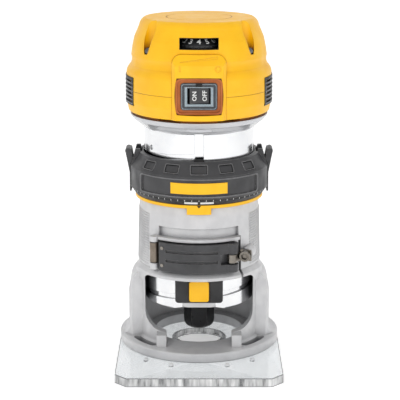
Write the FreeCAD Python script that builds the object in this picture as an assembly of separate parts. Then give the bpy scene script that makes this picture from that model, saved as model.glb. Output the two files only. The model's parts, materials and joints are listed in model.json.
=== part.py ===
import FreeCAD, Part
import math
import os

# Trim router. Millimetres, +Z up. The motor axis is the Z axis and z = 0 is the
# underside of the clear sub-base. The switch and the flat edge of the base face -Y.

V = FreeCAD.Vector
ORIGIN = V(0, 0, 0)
Z_DIR = V(0, 0, 1)

# ---- sub-base -------------------------------------------------------------
SUB_T = 5.5                 # plate thickness
SUB_R = 51.0                # round back edge
SUB_FRONT = 76.0            # distance from the axis to the flat front edge
SUB_CHAMFER = 7.0           # front corner chamfer
BUSH_R = 15.08              # guide bushing opening, 1 3/16 in
BUSH_BORE_R = 17.46         # guide bushing counterbore, 1 3/8 in
BUSH_BORE_DEPTH = 2.4
BASE_SCREW_R = 39.5         # pitch radius of the four sub-base screws
BASE_SCREW_SHANK = 1.7
BASE_SCREW_HEAD = 3.3
BASE_SCREW_TIP = 10.6
STUD_SPOTS = ((33.0, -44.4), (17.2, -53.8), (-17.2, -53.8), (-33.0, -44.4))
STUD_R = 1.5

# ---- fixed base casting ---------------------------------------------------
FLANGE_R = 50.9
FLANGE_TOP = 11.3
FLANGE_HOLE = 28.0
SLEEVE_BORE = 34.58
SLEEVE_LOW_R = 39.5
SLEEVE_MID_R = 38.75
SLEEVE_TOP_R = 37.8
NECK_R = 37.6
NECK_TOP = 110.0
HOOK_GROOVE_R = 36.3
HOOK_GROOVE_LOW = 107.1
HOOK_GROOVE_HIGH = 109.4
ARM_X = 44.5
ARM_HALF = 16.0
WINDOW_TOP = 54.8
WINDOW_HALF = 34.0
WINDOW_FOOT_HALF = 20.4
LUG_TOP = 19.1
SLOT_R = 43.5               # centre radius of the four arc slots in the flange
SLOT_HALF_W = 2.4
SLOT_DEPTH = 3.5
SPLIT_ANGLE = 311.0         # clamp split, seen from above
SPLIT_W = 2.0
SPLIT_TOP = 81.0
GUIDE_PIN_Z = (88.0, 97.0)
CLAMP_SEAT_R = 37.2
CLAMP_LOW = 60.0
CLAMP_HIGH = 79.0

# ---- clamp ----------------------------------------------------------------
LEVER_IN = 38.5
LEVER_OUT = 43.2
LEVER_LOW = 60.6
LEVER_HIGH = 78.5
PIVOT = V(20.3, -36.3, 0)
PIVOT_R = 1.6
LEVER_TAIL_R = 3.9
LINK_LOW = 66.2
LINK_HIGH = 71.4
ANCHOR = V(-27.6, -29.8, 0)
ANCHOR_R = 1.5
STRAP_IN = 37.3
STRAP_OUT = 38.0
SCREW_HEAD_AT = V(27.9, -36.5, 69.6)
SCREW_DIR = V(0.25, 0.968, 0)
SCREW_HEAD_R = 3.25

# ---- rings ----------------------------------------------------------------
POINTER_R = 40.2
POINTER_LOW = 101.0
POINTER_HIGH = 103.0
SCALE_R = 41.9
SCALE_LOW = 103.4
SCALE_HIGH = 106.9
RING_R = 43.5
RING_LOW = 107.2
RING_SHOULDER = 121.0
RING_HIGH = 129.5
RING_TOP_R = 38.0
RING_NECK_IN = 37.95
RING_IN = 34.95
RING_STEP = 110.4
PAD_STEP = 24.0
TAB_PIVOT_X = 40.2
TAB_PIVOT_Z = 113.4
TAB_HALF_W = 5.6
FOLLOWER_SPOTS = ((233.0, 118.0), (53.0, 111.65))

# ---- motor can ------------------------------------------------------------
TUBE_R = 34.5
TUBE_IN = 31.9
TUBE_LOW = 34.3
TUBE_HIGH = 145.3
THREAD_LEAD = 12.7
THREAD_START = 30.4         # groove centre height at the front, one turn below the tube
THREAD_TURNS = 8
THREAD_HALF_W = 1.65
THREAD_DEPTH = 1.15
GUIDE_HALF_W = 2.9
GUIDE_DEPTH = 1.2
FLAT_Y = 30.2
FLAT_TOP = 56.0

# ---- yellow housing -------------------------------------------------------
COLLAR_LOW = 155.6
PART_LINE = 169.7
HOUSING_R = 45.2
CAP_TOP = 212.8
SCREW_X = 29.0
SCREW_Y = 24.0
WELL_R = 4.0
WELL_FLOOR = 193.0
PANEL_HALF = 16.2
PANEL_LOW = 156.0
PANEL_HIGH = 195.0
PANEL_FACE = 47.0
PANEL_BACK = 37.5
SWITCH_Z = 170.5
DIAL_Y = -27.9
DIAL_R = 11.5
DIAL_LOW = 198.0
DIAL_HIGH = 203.9
GRILLE_LOW = 161.0
GRILLE_HIGH = 178.0
GLAND_Z = 193.0
CORD_R = 4.2

# ---- drive train ----------------------------------------------------------
SHAFT_R = 4.0
SPINDLE_R = 7.5
NOSE_R = 6.8
NOSE_LOW = 17.2
NUT_LOW = 12.9
NUT_HIGH = 33.3
NUT_FLATS = 17.0
SHANK_R = 3.175             # 1/4 in cutter shank
COLLET_LOW = 14.6
COLLET_HIGH = 32.0
LOCK_Z = 46.0


# ---- helpers --------------------------------------------------------------
def disc(radius, low, high, x=0.0, y=0.0):
    """Upright cylinder between two heights."""
    return Part.makeCylinder(radius, high - low, V(x, y, low))


def tube(outer, inner, low, high, x=0.0, y=0.0):
    """Upright ring between two heights."""
    return disc(outer, low, high, x, y).cut(disc(inner, low - 1, high + 1, x, y))


def box(x0, x1, y0, y1, z0, z1):
    """Block between two corners."""
    return Part.makeBox(x1 - x0, y1 - y0, z1 - z0, V(x0, y0, z0))


def rod(radius, start, end):
    """Cylinder from one point to another."""
    span = end - start
    return Part.makeCylinder(radius, span.Length, start, span)


def polar(radius, angle, z=0.0):
    """Point at a radius and an angle seen from above."""
    turn = math.radians(angle)
    return V(radius * math.cos(turn), radius * math.sin(turn), z)


def outline(points):
    """Closed wire through points; a pair (middle, end) makes an arc."""
    edges = []
    start = points[0]
    last = start
    for item in points[1:]:
        if isinstance(item, tuple):
            edges.append(Part.Arc(last, item[0], item[1]).toShape())
            last = item[1]
        else:
            edges.append(Part.makeLine(last, item))
            last = item
    if (last - start).Length > 1e-6:
        edges.append(Part.makeLine(last, start))
    return Part.Face(Part.Wire(edges))


def turned(profile, sweep=360.0):
    """Solid of revolution about Z from (radius, z) points; a pair of pairs is an arc."""
    points = []
    for item in profile:
        if isinstance(item[0], tuple):
            middle = V(item[0][0], 0, item[0][1])
            end = V(item[1][0], 0, item[1][1])
            points.append((middle, end))
        else:
            points.append(V(item[0], 0, item[1]))
    return outline(points).revolve(ORIGIN, Z_DIR, sweep)


def sector(outer, inner, low, high, start, end):
    """Piece of an upright ring between two angles."""
    piece = turned([(inner, low), (outer, low), (outer, high), (inner, high)], end - start)
    piece.rotate(ORIGIN, Z_DIR, start)
    return piece


def plate_xy(points, low, high):
    """Flat outline seen from above, raised between two heights."""
    face = outline([V(x, y, low) for x, y in points])
    return face.extrude(V(0, 0, high - low))


def plate_xz(points, back, front):
    """Outline seen from the front, run from y = -front to y = -back."""
    run = []
    for item in points:
        if isinstance(item[0], tuple):
            middle = V(item[0][0], -front, item[0][1])
            end = V(item[1][0], -front, item[1][1])
            run.append((middle, end))
        else:
            run.append(V(item[0], -front, item[1]))
    return outline(run).extrude(V(0, front - back, 0))


def hexagon(across, low, high, x=0.0, y=0.0, turn=30.0):
    """Upright hexagonal bar; turn 30 puts a flat to the front."""
    corner = across / math.sqrt(3.0)
    points = []
    for step in range(6):
        spot = polar(corner, turn + 30.0 + 60.0 * step)
        points.append((x + spot.x, y + spot.y))
    return plate_xy(points, low, high)


def turned_about(shape, angle):
    """Copy of a shape turned about the motor axis."""
    copy = shape.copy()
    copy.rotate(ORIGIN, Z_DIR, angle)
    return copy


def coil(radius, wire, start, end, turns):
    """Compression spring between two points."""
    span = end - start
    length = span.Length - 2 * wire
    helix = Part.makeHelix(length / turns, length, radius)
    section = Part.Wire(Part.makeCircle(wire, V(radius, 0, 0), V(0, 1, 0)))
    spring = Part.Wire(helix).makePipeShell([section], True, True)
    spring.translate(V(0, 0, wire))
    spring.Placement = FreeCAD.Placement(start, FreeCAD.Rotation(Z_DIR, span)).multiply(spring.Placement)
    return spring


def save(name, shape):
    """Write one node; every piece of it is a closed solid."""
    solids = shape.Solids
    for solid in solids:
        if not solid.isValid() or solid.Volume <= 0:
            print("bad solid in", name)
    result = solids[0] if len(solids) == 1 else Part.makeCompound(solids)
    result.exportStep("parts/" + name + ".step")
    print(name, len(solids), round(result.Volume, 1))


def group(shapes):
    """Several separate solids kept in one node."""
    return Part.makeCompound(shapes)


# ---- sub-base -------------------------------------------------------------
def sub_base():
    """Clear D-shaped plate with the stepped guide bushing opening."""
    start = V(SUB_R, 0, 0)
    corner = SUB_R - SUB_CHAMFER
    edge = SUB_FRONT - SUB_CHAMFER
    face = outline([
        start,
        (V(0, SUB_R, 0), V(-SUB_R, 0, 0)),
        V(-SUB_R, -edge, 0),
        V(-corner, -SUB_FRONT, 0),
        V(corner, -SUB_FRONT, 0),
        V(SUB_R, -edge, 0),
    ])
    plate = face.extrude(V(0, 0, SUB_T))
    rim = [e for e in plate.Edges if abs(e.BoundBox.ZMin - SUB_T) < 1e-6]
    plate = plate.makeChamfer(0.6, rim)
    plate = plate.cut(disc(BUSH_R, -1, SUB_T + 1))
    plate = plate.cut(disc(BUSH_BORE_R, -1, BUSH_BORE_DEPTH))
    for step in range(4):
        spot = polar(BASE_SCREW_R, 90.0 * step)
        plate = plate.cut(disc(BASE_SCREW_SHANK + 0.2, -1, SUB_T + 1, spot.x, spot.y))
        plate = plate.cut(disc(BASE_SCREW_HEAD + 0.2, -1, BUSH_BORE_DEPTH, spot.x, spot.y))
    for x, y in STUD_SPOTS:
        plate = plate.cut(disc(STUD_R, 2.0, SUB_T + 1, x, y))
    return plate


def sub_base_screws():
    """Four pan head screws driven up into the casting."""
    screws = []
    for step in range(4):
        spot = polar(BASE_SCREW_R, 90.0 * step)
        screw = disc(BASE_SCREW_SHANK, 0.4, BASE_SCREW_TIP, spot.x, spot.y)
        screw = screw.fuse(disc(BASE_SCREW_HEAD, 0.4, 2.3, spot.x, spot.y))
        cross = box(spot.x - 0.5, spot.x + 0.5, spot.y - 2.0, spot.y + 2.0, 0.0, 1.4)
        cross = cross.fuse(box(spot.x - 2.0, spot.x + 2.0, spot.y - 0.5, spot.y + 0.5, 0.0, 1.4))
        screws.append(screw.cut(cross).Solids[0])
    return group(screws)


def sub_base_studs():
    """Small bright locating studs pressed into the plate in front of the flange."""
    studs = []
    for x, y in STUD_SPOTS:
        stud = disc(STUD_R - 0.01, 2.1, SUB_T + 0.9, x, y)
        top = [e for e in stud.Edges if abs(e.BoundBox.ZMin - SUB_T - 0.9) < 1e-6]
        studs.append(stud.makeFillet(0.5, top))
    return group(studs)


# ---- fixed base casting ---------------------------------------------------
def sleeve_body():
    """Flange, lower wall, shoulder and neck as one turned body."""
    return turned([
        (FLANGE_HOLE, SUB_T),
        (FLANGE_R - 0.6, SUB_T),
        (FLANGE_R, SUB_T + 0.6),
        (FLANGE_R, FLANGE_TOP - 1.0),
        ((FLANGE_R - 0.3, FLANGE_TOP - 0.3), (FLANGE_R - 1.0, FLANGE_TOP)),
        (SLEEVE_LOW_R + 1.6, FLANGE_TOP),
        ((SLEEVE_LOW_R + 0.47, FLANGE_TOP + 0.47), (SLEEVE_LOW_R, FLANGE_TOP + 1.6)),
        (SLEEVE_LOW_R, 54.0),
        (SLEEVE_MID_R, 58.0),
        (SLEEVE_TOP_R, 89.0),
        (NECK_R, POINTER_LOW),
        (NECK_R, HOOK_GROOVE_LOW),
        (HOOK_GROOVE_R, HOOK_GROOVE_LOW),
        (HOOK_GROOVE_R, HOOK_GROOVE_HIGH),
        (NECK_R, HOOK_GROOVE_HIGH),
        (NECK_R, NECK_TOP - 0.3),
        (NECK_R - 0.3, NECK_TOP),
        (SLEEVE_BORE, NECK_TOP),
        (SLEEVE_BORE, FLANGE_TOP),
        (FLANGE_HOLE, FLANGE_TOP),
    ])


def arm(side):
    """Upright arm beside the window with a flared foot and a rounded shoulder."""
    profile = [
        (33.0, FLANGE_TOP - 1), (48.2, FLANGE_TOP - 1), (48.2, FLANGE_TOP), ((45.5, 13.2), (ARM_X, 17.5)),
        (ARM_X, 40.0), ((42.4, 48.8), (36.0, 54.8)), (33.0, 56.0),
    ]
    run = []
    for item in profile:
        if isinstance(item[0], tuple):
            run.append(((side * item[0][0], item[0][1]), (side * item[1][0], item[1][1])))
        else:
            run.append((side * item[0], item[1]))
    block = plate_xz(run, -ARM_HALF, ARM_HALF)
    corner = [(30, -16.0), (42.6, -16.0), (48.3, -10.3), (48.3, 10.3), (42.6, 16.0), (30, 16.0)]
    return block.common(plate_xy([(side * x, y) for x, y in corner], 0, NECK_TOP))


def brow():
    """Raised rim over the viewing window that joins the two arms."""
    rim = turned([(37.5, 50.0), (41.2, 50.0), (41.2, 56.6), (38.9, 59.2), (37.5, 59.2)], 150.0)
    return turned_about(rim, 195.0)


def sight_window():
    """Outline of the viewing window, run through the front wall."""
    foot = FLANGE_TOP
    return plate_xz([
        (-WINDOW_FOOT_HALF, foot),
        (-WINDOW_FOOT_HALF, LUG_TOP),
        (-24.0, LUG_TOP + 0.4),
        ((-31.07, 22.4), (-WINDOW_HALF, 29.5)),
        (-WINDOW_HALF, WINDOW_TOP - 3.0),
        ((-WINDOW_HALF + 0.9, WINDOW_TOP - 0.9), (-WINDOW_HALF + 3.0, WINDOW_TOP)),
        (WINDOW_HALF - 3.0, WINDOW_TOP),
        ((WINDOW_HALF - 0.9, WINDOW_TOP - 0.9), (WINDOW_HALF, WINDOW_TOP - 3.0)),
        (WINDOW_HALF, 29.5),
        ((31.07, 22.4), (24.0, LUG_TOP + 0.4)),
        (WINDOW_FOOT_HALF, LUG_TOP),
        (WINDOW_FOOT_HALF, foot),
    ], 0.0, 60.0)


def arc_slot(start, end):
    """Blind arc slot with round ends in the flange top."""
    low = FLANGE_TOP - SLOT_DEPTH
    high = FLANGE_TOP + 1
    slot = sector(SLOT_R + SLOT_HALF_W, SLOT_R - SLOT_HALF_W, low, high, start, end)
    for angle in (start, end):
        spot = polar(SLOT_R, angle)
        slot = slot.fuse(disc(SLOT_HALF_W, low, high, spot.x, spot.y))
    return slot


def anchor_lug(low, high):
    """Lug on the sleeve that holds one end of the strap's pin."""
    foot = polar(36.5, 227.2)
    side = V(1.6, -1.76, 0)
    web = plate_xy([
        (foot.x + side.x, foot.y + side.y),
        (foot.x - side.x, foot.y - side.y),
        (ANCHOR.x - side.x, ANCHOR.y - side.y),
        (ANCHOR.x + side.x, ANCHOR.y + side.y),
    ], low, high)
    return web.fuse(disc(2.8, low, high, ANCHOR.x, ANCHOR.y))


def clamp_seat():
    """Shallow turned recess under the lever and the dark pocket above it."""
    seat = sector(60, CLAMP_SEAT_R, CLAMP_LOW, CLAMP_HIGH, 220.5, 304.0)
    pocket = sector(60, 35.8, 81.2, 87.3, 229.0, 310.0)
    return seat.fuse(pocket)


def guide_pin_holes():
    """Radial holes at the back for the pins that ride in the rear guide groove."""
    low = rod(2.21, V(0, 33, GUIDE_PIN_Z[0]), V(0, 44, GUIDE_PIN_Z[0]))
    return low.fuse(rod(2.21, V(0, 33, GUIDE_PIN_Z[1]), V(0, 44, GUIDE_PIN_Z[1])))


def base_casting():
    """Aluminium base: flange, arms, sleeve, clamp lugs and neck."""
    body = sleeve_body()
    for side in (-1, 1):
        body = body.fuse(arm(side))
    body = body.fuse(brow())
    body = body.cut(sight_window())
    for side in (-1, 1):
        xs = sorted((side * WINDOW_FOOT_HALF, side * 26.5))
        body = body.fuse(box(xs[0], xs[1], -38.5, -28.6, FLANGE_TOP - 1, LUG_TOP))
    for start in (24.0, 129.5, 204.0, 309.5):
        body = body.cut(arc_slot(start + 2.0, start + 24.5))
    body = body.cut(clamp_seat())
    body = body.fuse(sector(40.6, CLAMP_SEAT_R - 1.5, 79.3, 81.2, 231.0, 308.5))
    body = body.fuse(anchor_lug(60.2, 64.2))
    body = body.fuse(anchor_lug(77.8, 81.2))
    boss_start = SCREW_HEAD_AT + SCREW_DIR * 5.2
    boss_end = SCREW_HEAD_AT + SCREW_DIR * 16.0
    body = body.fuse(rod(3.9, boss_start, boss_end))
    body = body.cut(disc(SLEEVE_BORE, FLANGE_TOP, NECK_TOP + 1))
    split = box(33.0, 60.0, -SPLIT_W / 2, SPLIT_W / 2, WINDOW_TOP - 1, SPLIT_TOP)
    body = body.cut(turned_about(split, SPLIT_ANGLE))
    hole_end = SCREW_HEAD_AT + SCREW_DIR * 12.2
    body = body.cut(rod(1.55, SCREW_HEAD_AT, hole_end))
    for pin_z in (62.0, 77.0):
        body = body.cut(disc(ANCHOR_R + 0.01, pin_z, pin_z + 3.0, ANCHOR.x, ANCHOR.y))
    body = body.cut(guide_pin_holes())
    for step in range(4):
        spot = polar(BASE_SCREW_R, 90.0 * step)
        body = body.cut(disc(BASE_SCREW_SHANK + 0.02, SUB_T - 1, BASE_SCREW_TIP + 0.2, spot.x, spot.y))
    return body


def guide_pins():
    """Two pins in the rear of the sleeve that stop the motor from turning."""
    return group([rod(2.2, V(0, 33.7, z), V(0, 37.3, z)) for z in GUIDE_PIN_Z])


# ---- clamp ----------------------------------------------------------------
def clamp_lever():
    """Curved plastic lever with two finger grooves and a clevis at the pivot."""
    lever = sector(LEVER_OUT, LEVER_IN, LEVER_LOW, LEVER_HIGH, 236.5, 299.0)
    end = polar((LEVER_OUT + LEVER_IN) / 2, 236.5)
    rounding = disc((LEVER_OUT - LEVER_IN) / 2, LEVER_LOW, LEVER_HIGH, end.x, end.y)
    lever = lever.fuse(rounding)
    keep = sector(70, 20, 0, 100, 225.0, 299.2)
    lever = lever.common(keep)
    lever = lever.fuse(disc(LEVER_TAIL_R, LEVER_LOW, LEVER_HIGH, PIVOT.x, PIVOT.y))
    for groove_z in (67.5, 73.5):
        groove = turned([(42.3, groove_z - 0.6), (45.0, groove_z - 1.4),
                         (45.0, groove_z + 1.4), (42.3, groove_z + 0.6)], 44.0)
        groove.rotate(ORIGIN, Z_DIR, 241.5)
        lever = lever.cut(groove)
    clevis = box(13.4, 32.0, -50.0, -28.0, LINK_LOW - 0.8, LINK_HIGH + 0.8)
    lever = lever.cut(clevis)
    lever = lever.cut(disc(PIVOT_R + 0.05, 0, 100, PIVOT.x, PIVOT.y))
    return lever


def lever_rivets():
    """Two small rivet heads near the free end of the lever."""
    rivets = []
    for height in (64.2, 75.2):
        inner = polar(42.0, 238.2, height)
        outer = polar(43.6, 238.2, height)
        rivets.append(rod(1.1, inner, outer))
    return group(rivets)


def lever_with_rivet_holes():
    """Lever with the seats of its two rivets."""
    lever = clamp_lever()
    for height in (64.2, 75.2):
        inner = polar(41.99, 238.2, height)
        outer = polar(45.0, 238.2, height)
        lever = lever.cut(rod(1.105, inner, outer))
    return lever


def lever_pivot_pin():
    """Vertical pin through the lever's clevis and the eye of the link."""
    return disc(PIVOT_R, LEVER_LOW + 0.3, LEVER_HIGH - 0.3, PIVOT.x, PIVOT.y)


def eye_link():
    """Steel link: an eye on the lever's pin and a tab under the tension screw's head."""
    eye = disc(3.1, LINK_LOW, LINK_HIGH, PIVOT.x, PIVOT.y)
    bar = plate_xy([(20.9, -37.6), (26.0, -33.2), (25.2, -31.0), (19.3, -34.4)], LINK_LOW, LINK_HIGH)
    link = eye.fuse(bar)
    across = V(0.968, -0.25, 0)
    seat = SCREW_HEAD_AT + SCREW_DIR * 3.3
    back = SCREW_HEAD_AT + SCREW_DIR * 4.9
    tab = plate_xy([
        (seat.x - across.x * 3.6, seat.y - across.y * 3.6),
        (seat.x + across.x * 3.6, seat.y + across.y * 3.6),
        (back.x + across.x * 3.6, back.y + across.y * 3.6),
        (back.x - across.x * 3.6, back.y - across.y * 3.6),
    ], LINK_LOW, 73.0)
    link = link.fuse(tab)
    link = link.cut(rod(1.75, SCREW_HEAD_AT, SCREW_HEAD_AT + SCREW_DIR * 9.0))
    link = link.cut(rod(SCREW_HEAD_R + 0.1, SCREW_HEAD_AT, SCREW_HEAD_AT + SCREW_DIR * 3.25))
    link = link.cut(disc(PIVOT_R + 0.05, 0, 100, PIVOT.x, PIVOT.y))
    return link


def tension_screw():
    """Socket head screw that sets how hard the lever clamps."""
    screw = rod(SCREW_HEAD_R, SCREW_HEAD_AT, SCREW_HEAD_AT + SCREW_DIR * 3.2)
    screw = screw.fuse(rod(1.5, SCREW_HEAD_AT, SCREW_HEAD_AT + SCREW_DIR * 12.0))
    socket = hexagon(4.0, -1.0, 1.9, 0, 0)
    socket.Placement = FreeCAD.Placement(SCREW_HEAD_AT, FreeCAD.Rotation(Z_DIR, SCREW_DIR))
    return screw.cut(socket)


def clamp_strap():
    """Steel wear strap behind the lever with a rolled eye at the left."""
    band = sector(STRAP_OUT, STRAP_IN, 64.8, 77.2, 229.6, 287.0)
    eye = disc(2.9, 64.8, 77.2, ANCHOR.x, ANCHOR.y)
    toe = polar(37.65, 230.5)
    bridge = plate_xy([
        (ANCHOR.x + 1.9, ANCHOR.y - 0.6),
        (ANCHOR.x + 1.0, ANCHOR.y + 1.5),
        (toe.x - 0.5, toe.y + 0.6),
        (toe.x + 0.5, toe.y - 0.2),
    ], 64.8, 77.2)
    strap = band.fuse(eye).fuse(bridge)
    strap = strap.cut(disc(SLEEVE_BORE + 2.7, 0, 100))
    return strap.cut(disc(ANCHOR_R + 0.01, 0, 100, ANCHOR.x, ANCHOR.y))


def clamp_anchor_pin():
    """Vertical pin that holds the strap's eye between the two lugs."""
    return disc(ANCHOR_R, 62.1, 79.9, ANCHOR.x, ANCHOR.y)


# ---- rings ----------------------------------------------------------------
def pointer_ring():
    """Yellow ring on the neck with a pointer tab at the front."""
    ring = tube(POINTER_R, NECK_R + 0.05, POINTER_LOW, POINTER_HIGH)
    tab = sector(POINTER_R, 38.3, 97.1, POINTER_LOW + 0.5, 259.3, 280.7)
    return ring.fuse(tab)


def scale_ring():
    """Zero-set ring with a bevelled lower edge."""
    return turned([
        (RING_NECK_IN, SCALE_LOW),
        (40.4, SCALE_LOW),
        (SCALE_R, SCALE_LOW + 2.2),
        (SCALE_R, SCALE_HIGH),
        (RING_NECK_IN, SCALE_HIGH),
    ])


def tab_slot(side):
    """Space cut in the depth ring for one release tab."""
    slot = box(35.6, 60.0, -TAB_HALF_W - 0.35, TAB_HALF_W + 0.35, RING_LOW - 1, 140.0)
    if side < 0:
        slot = slot.mirror(ORIGIN, V(1, 0, 0))
    return slot


def ring_ears():
    """Four raised ears beside the release tabs, sloped toward the tabs."""
    ears = []
    for side in (-1, 1):
        for ear_side in (-1, 1):
            near = ear_side * (TAB_HALF_W + 0.35)
            far = ear_side * (TAB_HALF_W + 2.6)
            lows = sorted((near, far))
            points = [(36.2, 108.0), (43.3, 108.0), (43.3, 118.0), (39.6, 131.4), (37.0, 131.4), (35.4, 124.0)]
            ear = plate_xz([(side * x, z) for x, z in points], -lows[1], -lows[0])
            ears.append(ear)
    return ears


def bevel_pad(angle):
    """Shallow rectangular recess on the ring's bevel."""
    pad = box(-4.8, 4.8, -0.6, 3.0, -3.1, 3.1)
    pad.rotate(ORIGIN, V(1, 0, 0), -57.0)
    pad.rotate(ORIGIN, V(1, 0, 0), 90.0)
    pad.translate(V(0, 40.9, 125.1))
    return turned_about(pad, angle - 90.0)


def depth_ring():
    """Height adjusting ring: skirt, bevel with pads, framed front panel and ears."""
    ring = turned([
        (RING_NECK_IN, RING_LOW),
        (RING_R - 0.5, RING_LOW),
        (RING_R, RING_LOW + 0.5),
        (RING_R, RING_SHOULDER),
        (RING_TOP_R, RING_HIGH),
        (RING_IN, RING_HIGH),
        (RING_IN, RING_STEP),
        (RING_NECK_IN, RING_STEP),
    ])
    for ear in ring_ears():
        ring = ring.fuse(ear)
    ring = ring.cut(disc(RING_IN, 100, 140))
    ring = ring.cut(disc(RING_NECK_IN, 100, RING_STEP))
    for side in (-1, 1):
        ring = ring.cut(tab_slot(side))
        pin_x = side * TAB_PIVOT_X
        ring = ring.cut(rod(1.22, V(pin_x, -9.5, TAB_PIVOT_Z), V(pin_x, 9.5, TAB_PIVOT_Z)))
    for step in range(-2, 3):
        ring = ring.cut(bevel_pad(270.0 + PAD_STEP * step))
        ring = ring.cut(bevel_pad(90.0 + PAD_STEP * step))
    ring = ring.cut(sector(46.0, 42.9, 109.2, 119.2, 216.5, 323.5))
    for angle, height in FOLLOWER_SPOTS:
        ring = ring.cut(rod(1.41, polar(33, angle, height), polar(42.0, angle, height)))
    return ring


def ring_badge():
    """Plain colour bar set in the framed panel of the depth ring."""
    return sector(43.35, 42.92, 110.6, 117.4, 246.5, 293.5)


def ring_followers():
    """Two pins in the depth ring that ride in the motor's spiral groove."""
    pins = []
    for angle, height in FOLLOWER_SPOTS:
        pins.append(rod(1.4, polar(33.75, angle, height), polar(41.5, angle, height)))
    return group(pins)


def release_tab(side):
    """Release tab: finger arm, pivot barrel, hook and outer skirt."""
    points = [
        (36.5, 107.9), (42.3, 107.9), (42.5, 103.9), (43.6, 103.9), (43.6, 116.0),
        (46.0, 128.6), ((45.9, 130.6), (44.0, 131.2)), (42.4, 130.6),
        (40.3, 118.5), (38.2, 116.0), (38.2, 110.6), (37.9, 109.1), (36.5, 109.1),
    ]
    run = []
    for item in points:
        if isinstance(item[0], tuple):
            run.append(((side * item[0][0], item[0][1]), (side * item[1][0], item[1][1])))
        else:
            run.append((side * item[0], item[1]))
    tab = plate_xz(run, -TAB_HALF_W, TAB_HALF_W)
    x = side * TAB_PIVOT_X
    tab = tab.cut(rod(1.25, V(x, -20, TAB_PIVOT_Z), V(x, 20, TAB_PIVOT_Z)))
    seat = rod(2.0, V(side * 40.0, 0, 122.5), V(side * 42.9, 0, 122.5))
    return tab.cut(seat)


def tab_pins():
    """Pivot pins of the two release tabs, held in the ears of the depth ring."""
    pins = []
    for side in (-1, 1):
        x = side * TAB_PIVOT_X
        pins.append(rod(1.2, V(x, -8.1, TAB_PIVOT_Z), V(x, 8.1, TAB_PIVOT_Z)))
    return group(pins)


def tab_spring(side):
    """Small compression spring that holds a release tab in the groove."""
    return coil(1.5, 0.28, V(side * 35.75, 0, 122.5), V(side * 42.7, 0, 122.5), 4)


# ---- motor can ------------------------------------------------------------
def spiral_groove():
    """Tools that cut the spiral groove, one turn each."""
    inner = TUBE_R - THREAD_DEPTH
    outer = TUBE_R + 1.0
    section = Part.makePolygon([
        V(inner, 0, -THREAD_HALF_W),
        V(outer, 0, -THREAD_HALF_W),
        V(outer, 0, THREAD_HALF_W),
        V(inner, 0, THREAD_HALF_W),
        V(inner, 0, -THREAD_HALF_W),
    ])
    tools = []
    for step in range(THREAD_TURNS):
        path = Part.Wire(Part.makeHelix(THREAD_LEAD, THREAD_LEAD, TUBE_R))
        tool = path.makePipeShell([section], True, True)
        tool.translate(V(0, 0, THREAD_START + THREAD_LEAD * step))
        tool.rotate(ORIGIN, Z_DIR, 270.0)
        tools.append(tool)
    return tools


def motor_can():
    """Ground motor tube with spiral and guide grooves and the flare at its top."""
    can = turned([
        (TUBE_IN, TUBE_LOW + 0.6),
        (TUBE_R - 0.6, TUBE_LOW),
        (TUBE_R, TUBE_LOW + 0.6),
        (TUBE_R, TUBE_HIGH),
        (37.4, 147.9),
        (41.1, 150.7),
        (42.8, 153.2),
        (42.8, 153.8),
        (39.8, 153.8),
        (39.8, 151.5),
        (TUBE_IN + 0.9, 151.5),
        (TUBE_IN + 0.9, 142.0),
        (TUBE_IN, 142.0),
    ])
    for angle in (90.0, 270.0):
        groove = box(TUBE_R - GUIDE_DEPTH, 60.0, -GUIDE_HALF_W, GUIDE_HALF_W, 30.0, 146.0)
        can = can.cut(turned_about(groove, angle))
        notch = box(37.0, 60.0, -8.0, 8.0, 145.3, 149.6)
        can = can.cut(turned_about(notch, angle))
    flat = box(-30.0, 30.0, -60.0, -FLAT_Y, 30.0, FLAT_TOP)
    can = can.cut(flat)
    for tool in spiral_groove():
        can = can.cut(tool)
    dimple = polar(TUBE_R - 0.8, 212.0, 134.5)
    can = can.cut(rod(1.6, dimple, polar(40.0, 212.0, 134.5)))
    return can


def bearing_housing():
    """End bell in the bottom of the can: bearing seat, exhaust slots and lock bore."""
    bell = turned([
        (8.6, TUBE_LOW + 0.4),
        (TUBE_IN - 0.9, TUBE_LOW + 0.4),
        (TUBE_IN - 0.05, TUBE_LOW + 1.4),
        (TUBE_IN - 0.05, 64.0),
        (24.0, 64.0),
        (24.0, 66.0),
        (16.03, 66.0),
        (16.03, 56.0),
        (11.0, 56.0),
        (11.0, 52.0),
        (8.6, 50.0),
    ])
    for angle in (30.0, 90.0, 150.0):
        bell = bell.cut(sector(29.0, 19.5, 30.0, 70.0, angle - 18.0, angle + 18.0))
    bell = bell.cut(box(-30.0, 30.0, -60.0, -FLAT_Y, 30.0, FLAT_TOP))
    bell = bell.cut(box(-6.5, 6.5, -40.0, -26.2, 39.0, 52.8))
    bell = bell.cut(rod(2.6, V(0, -30, LOCK_Z), V(0, -5, LOCK_Z)))
    for angle in (200.0, 340.0):
        spot = polar(24.5, angle)
        bell = bell.cut(disc(3.2, 30.0, 38.5, spot.x, spot.y))
    for angle in (0.0, 120.0, 240.0):
        spot = polar(20.0, angle)
        bell = bell.cut(disc(1.2, 58.0, 70.0, spot.x, spot.y))
    return bell


def bearing_retainer():
    """Thin plate that holds the lower bearing in its seat."""
    plate = tube(22.6, 10.2, 66.05, 67.0)
    for angle in (0.0, 120.0, 240.0):
        spot = polar(20.0, angle)
        plate = plate.cut(disc(1.22, 60, 70, spot.x, spot.y))
    return plate


def retainer_screws():
    """Three small screws through the bearing retainer."""
    screws = []
    for angle in (0.0, 120.0, 240.0):
        spot = polar(20.0, angle)
        screw = disc(1.19, 59.0, 68.1, spot.x, spot.y)
        screw = screw.fuse(disc(2.1, 67.02, 68.1, spot.x, spot.y))
        screws.append(screw.Solids[0])
    return group(screws)


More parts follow.
